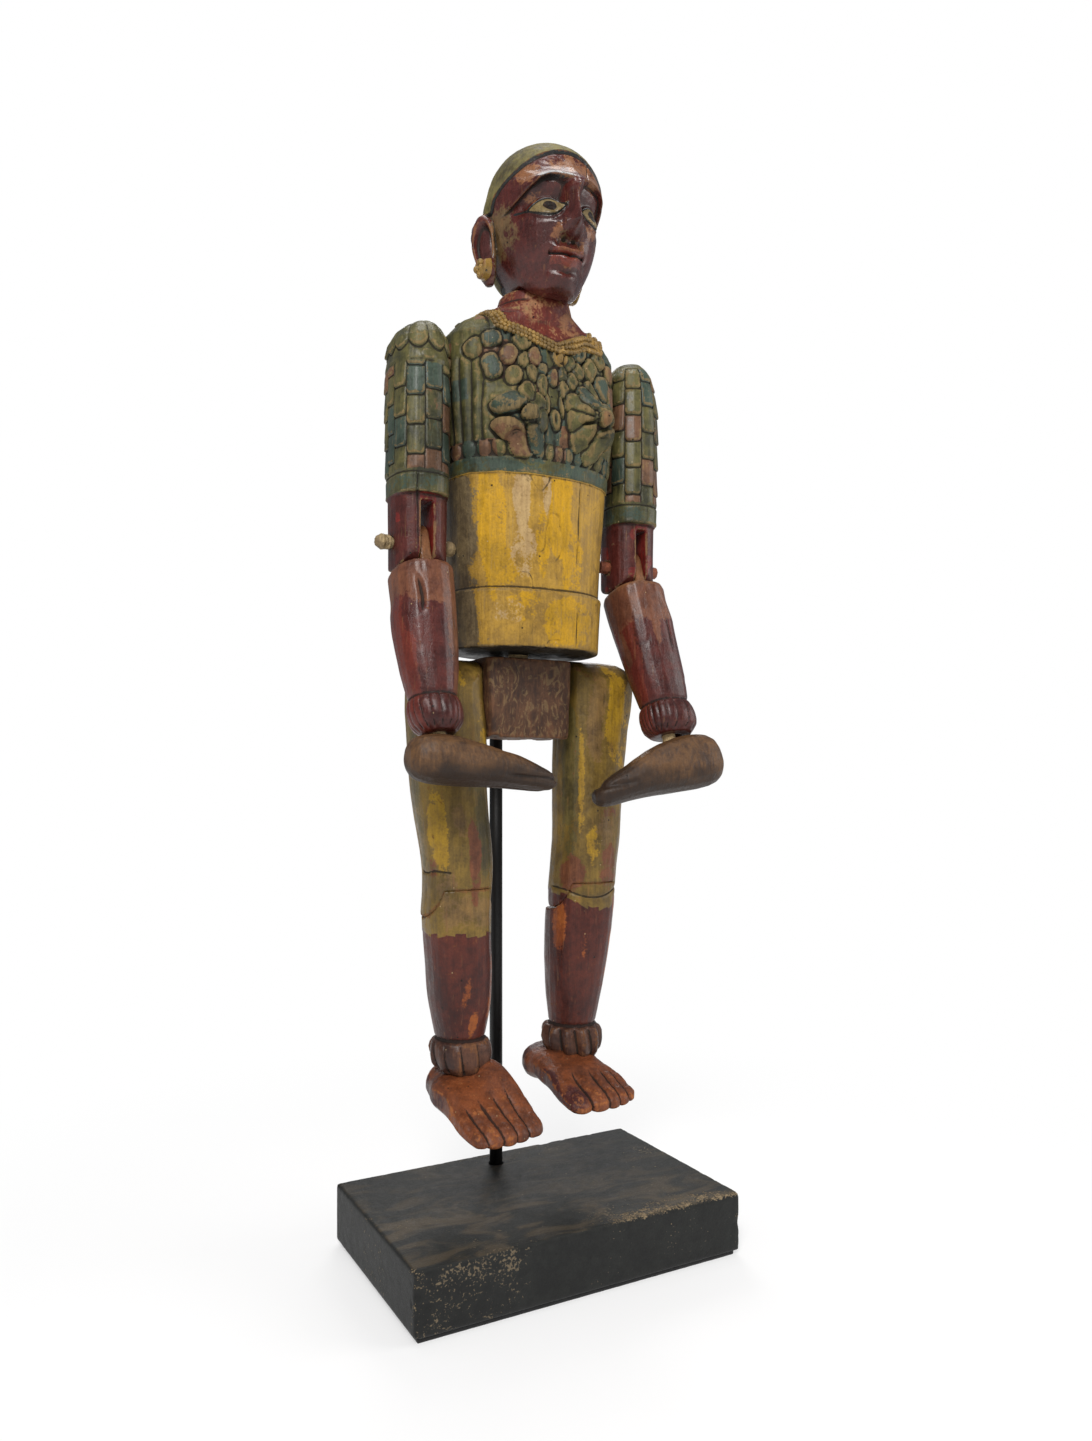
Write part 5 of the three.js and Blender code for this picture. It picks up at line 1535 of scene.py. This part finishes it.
def leg_masks(surface, name):
    p = surface.points
    knee = joint_place(f"knee_{name}")
    degrees = np.degrees(round_angle(p, knee[0], knee[1] - 2))
    rough = layered(p * ALONG_GRAIN, 12, 80)
    for key, rows in LEG_PATCHES[name].items():
        surface.mask(key, patches(degrees, p[:, 2], rough, rows, 0.4))
    steps = 7 * (lattice(np.stack([np.floor(degrees / 16), degrees * 0, degrees * 0], -1), 2) - 0.5)
    border = TROUSER_END_Z[name] + steps + 3 * noise(p, 10, 6)
    if name == "left":
        border = border - 16 * bump(degrees, 34) + 4
    below = 1 - ramp(p[:, 2], border - 1.5, border + 1.5)
    surface.mask("maroon", below)
    surface.mask("orange", below * patches(degrees, p[:, 2], rough, SHIN_ORANGE[name], 0.3))
    surface.carve(0.35 * ramp(p[:, 2], border - 1, border + 1))
    seam = KNEE_SEAM_Z[name]
    if name == "left":
        line = seam - 9 * bump(degrees + 5, 40) + 3
        surface.carve(-1.3 * bump(p[:, 2] - line, 1.2) * window(degrees, -90, 80, 6))
    else:
        surface.carve(-1.2 * bump(p[:, 2] - seam - 1.5 * noise(p, 12, 3), 1.2) * window(degrees, -95, -28, 6))
    return degrees


def carve_anklet(surface, name):
    """Upright lobes round the ankle, with a groove above and below."""
    p = surface.points
    low, _ = node_box(f"shin_{name}")
    knee = joint_place(f"knee_{name}")
    centre_x = knee[0] + (11 if name == "right" else -11)
    angle = round_angle(p, centre_x, knee[1] + 1)
    up = p[:, 2] - low[2]
    ring = window(up, *ANKLET_RING, 2)
    lobe = np.abs(np.cos(angle * ANKLET_LOBES + 0.3 + 0.03 * (up - 13)))
    surface.carve(ring * 3.6 * (lobe**0.55 - 0.72))
    surface.carve(-1.2 * bump(up - ANKLET_HEIGHT - 0.5, 1.6))
    surface.mask("anklet", ramp(ANKLET_HEIGHT - up, -0.5, 1))


def make_legs():
    for name, side in SIDES.items():
        body = f"thigh_{name}"
        surface = Surface(fine_copy(body, f"painted_{body}", 1.3, 4))
        leg_masks(surface, name)
        bend_leg(surface, name, side)
        surface.carve(0.7 * layered(surface.points * ALONG_GRAIN, 22, 90 + side))
        knife_marks(surface, 1.0, 50 + side)
        dress(surface.finish(), "leg", body, "trouser_paint", body)

        body = f"shin_{name}"
        surface = Surface(fine_copy(body, f"painted_{body}", 1.1, 3))
        leg_masks(surface, name)
        bend_leg(surface, name, side)
        carve_anklet(surface, name)
        slope_ankle(surface, name)
        knife_marks(surface, 0.9, 60 + side)
        dress(surface.finish(), "leg", body, "shin_paint", body)
        make_foot(name, side)


TOE_EDGES = (34.0, 12.0, 0.0, -11.0, -21.5, -34.0)
FOOT_TURN = {"right": 12, "left": 8}
FOOT_SHIFT = {"right": -4, "left": -12}
ANKLE_X = {"right": -57, "left": 55}


def make_foot(name, side):
    node = f"foot_{name}"
    surface = Surface(fine_copy(node, f"carved_{node}", 0.95, 3))
    p = surface.points
    ankle = JOINTS[f"knee_{name}"]["pos_m"]
    centre = np.array([ANKLE_X[name], ankle[1] * 1000 + 1])
    c, s = math.cos(math.radians(FOOT_TURN[name])), math.sin(math.radians(FOOT_TURN[name]))
    dx, dy = p[:, 0] - centre[0], p[:, 1] - centre[1]
    inner = -side * (dx * c + dy * s - FOOT_SHIFT[name])
    straight = dy * c - dx * s
    from_tip = straight - straight.min()
    toes = 1 - ramp(from_tip, 26, 40)
    on_top = ramp(surface.normals[:, 2], 0.1, 0.5)
    for inner_edge, outer_edge in zip(TOE_EDGES, TOE_EDGES[1:]):
        centre = (inner_edge + outer_edge) / 2
        half = (inner_edge - outer_edge) / 2
        away = np.abs(inner - centre) / half
        within = away <= 1
        surface.carve(within * toes * half * 0.55 * (dome(away * 0.98) - 0.85))
        nail = turned(inner, from_tip, (centre, 9), (half * 0.5, half * 0.62), 0)
        surface.carve(on_top * 0.7 * (1 - ramp(nail, 0.8, 1.0)))
        knuckle = turned(inner, from_tip, (centre, 24), (half * 0.8, 7), 0)
        surface.carve(on_top * 0.9 * dome(np.minimum(knuckle, 1)))
    slope_ankle(surface, name)
    upper = ramp(surface.normals[:, 2], -0.2, 0.5)
    instep = bump(from_tip - 58, 26) * upper
    forward = 1 - ramp(from_tip, 70, 100)
    if side < 0:
        surface.shove(UP, instep * (8 + 14 * ramp(inner, -8, 18)))
        surface.shove(-RIGHT_TO_LEFT, 7 * ramp(-inner, 0, 25) * forward)
        surface.shove(RIGHT_TO_LEFT, 2 * ramp(inner, 0, 25) * bump(from_tip - 30, 34))
    else:
        surface.shove(UP, 5 * instep + 4 * forward)
        surface.shove(-RIGHT_TO_LEFT, 0.09 * np.maximum(-dy, 0) + 7 * ramp(inner, -5, 20))
    knife_marks(surface, 0.9, 70 + side)
    rough = layered(p, 14, 44)
    if side > 0:
        big_toe = 0.9 * bump(np.hypot(inner - 23, from_tip - 12), 15)
        dark = np.maximum(big_toe, ramp(inner + 8 * rough, 22, 32))
        dark = np.maximum(dark, 0.7 * ramp(from_tip + 10 * rough, 78, 100))
    else:
        dark = 0.7 * ramp(-inner + 6 * rough + 0.2 * from_tip, 34, 46)
    surface.mask("dark", dark)
    dress(surface.finish(), "foot", f"shin_{name}", "foot_paint", node)


def finish_pegs():
    for node in NODES:
        if "peg" in node or "dowel" in node or node in ("hip_pin", "knee_pin_right", "knee_pin_left"):
            paint_node(node, "pin")
    paint_node("rod_screw", "steel")


# Stage


def make_floor():
    """A pale floor that fades into the white backdrop away from the puppet."""
    mesh = bpy.data.meshes.new("floor")
    reach = 12
    corners = [(-reach, -reach, 0), (reach, -reach, 0), (reach, reach, 0), (-reach, reach, 0)]
    mesh.from_pydata(corners, [], [(0, 1, 2, 3)])
    floor = new_object("floor", mesh)
    paint = Paint("pale_floor")
    paint.shader.inputs["Base Color"].default_value = (0.9, 0.9, 0.9, 1)
    paint.shader.inputs["Roughness"].default_value = 0.9
    glow = paint.tree.nodes.new("ShaderNodeEmission")
    blend = paint.tree.nodes.new("ShaderNodeMixShader")
    out = paint.tree.nodes["Material Output"]
    away = paint.node("VectorMath", {"operation": "LENGTH"}, {"Vector": paint.place}, "Value")
    paint.connect(away.between(0.15, 0.75) * 0.5 + 0.5, blend.inputs["Fac"])
    paint.tree.links.new(paint.shader.outputs["BSDF"], blend.inputs[1])
    paint.tree.links.new(glow.outputs["Emission"], blend.inputs[2])
    paint.tree.links.new(blend.outputs["Shader"], out.inputs["Surface"])
    mesh.materials.append(paint.material)


def make_world():
    """White behind the puppet, and a dimmer sky that lights it."""
    world = bpy.data.worlds.new("Studio")
    world.use_nodes = True
    tree = world.node_tree
    white = tree.nodes["Background"]
    white.inputs["Color"].default_value = (1, 1, 1, 1)
    sky = tree.nodes.new("ShaderNodeBackground")
    sky.inputs["Color"].default_value = (0.9, 0.94, 1, 1)
    sky.inputs["Strength"].default_value = 0.28
    ray = tree.nodes.new("ShaderNodeLightPath")
    blend = tree.nodes.new("ShaderNodeMixShader")
    tree.links.new(ray.outputs["Is Camera Ray"], blend.inputs["Fac"])
    tree.links.new(sky.outputs["Background"], blend.inputs[1])
    tree.links.new(white.outputs["Background"], blend.inputs[2])
    tree.links.new(blend.outputs["Shader"], tree.nodes["World Output"].inputs["Surface"])
    bpy.context.scene.world = world
    bpy.context.scene.view_settings.view_transform = "Standard"


LIGHTS = (
    ("key", (-1.1, -1.6, 2.0), 52, 0.9),
    ("fill", (1.8, -1.0, 1.2), 16, 1.2),
    ("top", (0.1, 0.2, 2.4), 14, 0.9),
    ("rim", (0.8, 1.7, 1.6), 12, 0.8),
)


LIGHT_COLOUR = (1.0, 0.98, 0.96)
LIGHT_TARGET = (0, 0, 0.55)


def make_lights():
    for name, place, power, size in LIGHTS:
        data = bpy.data.lights.new(name, "AREA")
        data.energy = power
        data.size = size
        data.color = LIGHT_COLOUR
        light = new_object(name, data)
        light.location = place
        aim = Vector(LIGHT_TARGET) - Vector(place)
        light.rotation_euler = aim.to_track_quat("-Z", "Y").to_euler()


def make_camera():
    settings = bpy.context.scene.puppet_view
    data = bpy.data.cameras.new("photograph_view")
    data.sensor_fit = "VERTICAL"
    data.sensor_height = 36
    data.lens = settings.focal / PICTURE_HEIGHT * data.sensor_height
    data.shift_y = (settings.horizon - PICTURE_HEIGHT / 2) / PICTURE_HEIGHT
    data.clip_end = 100
    camera = new_object("photograph_view", data)
    camera.location = Vector(settings.place) * MM
    camera.rotation_euler = (math.pi / 2, 0, -math.radians(settings.turn))
    bpy.context.scene.camera = camera


# Operators and panel


class PuppetStep:
    """Runs the makers that a step lists."""

    makers = ()

    def execute(self, context):
        for make in self.makers:
            make()
        return {"FINISHED"}


class PUPPET_OT_stage(PuppetStep, bpy.types.Operator):
    """Adds the camera, the lights and the pale floor"""

    bl_idname = "puppet.stage"
    bl_label = "Stage"
    makers = (make_camera, make_floor, make_world, make_lights)


class PUPPET_OT_stand(PuppetStep, bpy.types.Operator):
    """Builds the chipped plinth, its pad and the rod"""

    bl_idname = "puppet.stand"
    bl_label = "Stand"
    makers = (make_plinth, make_pad, make_rod)


class PUPPET_OT_trunk(PuppetStep, bpy.types.Operator):
    """Carves the torso with its blouse and beads, and the pelvis"""

    bl_idname = "puppet.trunk"
    bl_label = "Trunk"
    makers = (make_torso, make_pelvis)


class PUPPET_OT_head(PuppetStep, bpy.types.Operator):
    """Carves the head with its hair, ears and studs"""

    bl_idname = "puppet.head"
    bl_label = "Head"
    makers = (make_head,)


class PUPPET_OT_arms(PuppetStep, bpy.types.Operator):
    """Carves the sleeves, forearms, elbow pins and hands"""

    bl_idname = "puppet.arms"
    bl_label = "Arms"
    makers = (make_upper_arms, make_forearms, make_elbow_pins, make_hands)


class PUPPET_OT_legs(PuppetStep, bpy.types.Operator):
    """Paints the thighs and shins, carves the feet and finishes the pegs"""

    bl_idname = "puppet.legs"
    bl_label = "Legs"
    makers = (make_legs, finish_pegs)


STEPS = ("stage", "stand", "trunk", "head", "arms", "legs")


class PUPPET_PT_panel(bpy.types.Panel):
    """Lists the steps that build the puppet"""

    bl_idname = "PUPPET_PT_panel"
    bl_label = "Wooden puppet"
    bl_space_type = "VIEW_3D"
    bl_region_type = "UI"
    bl_category = "Puppet"

    def draw(self, context):
        for step in STEPS:
            self.layout.operator(f"puppet.{step}")
        for group in (context.scene.puppet_carving, context.scene.puppet_colours):
            for key in group.__annotations__:
                self.layout.prop(group, key)


CLASSES = (
    PuppetColours,
    PuppetCarving,
    PuppetView,
    PUPPET_OT_stage,
    PUPPET_OT_stand,
    PUPPET_OT_trunk,
    PUPPET_OT_head,
    PUPPET_OT_arms,
    PUPPET_OT_legs,
    PUPPET_PT_panel,
)


def register():
    for item in CLASSES:
        bpy.utils.register_class(item)
    bpy.types.Scene.puppet_colours = PointerProperty(type=PuppetColours)
    bpy.types.Scene.puppet_carving = PointerProperty(type=PuppetCarving)
    bpy.types.Scene.puppet_view = PointerProperty(type=PuppetView)


def unregister():
    del bpy.types.Scene.puppet_view
    del bpy.types.Scene.puppet_carving
    del bpy.types.Scene.puppet_colours
    for item in reversed(CLASSES):
        bpy.utils.unregister_class(item)


def main():
    register()
    for step in STEPS:
        getattr(bpy.ops.puppet, step)()


if __name__ == "__main__":
    main()
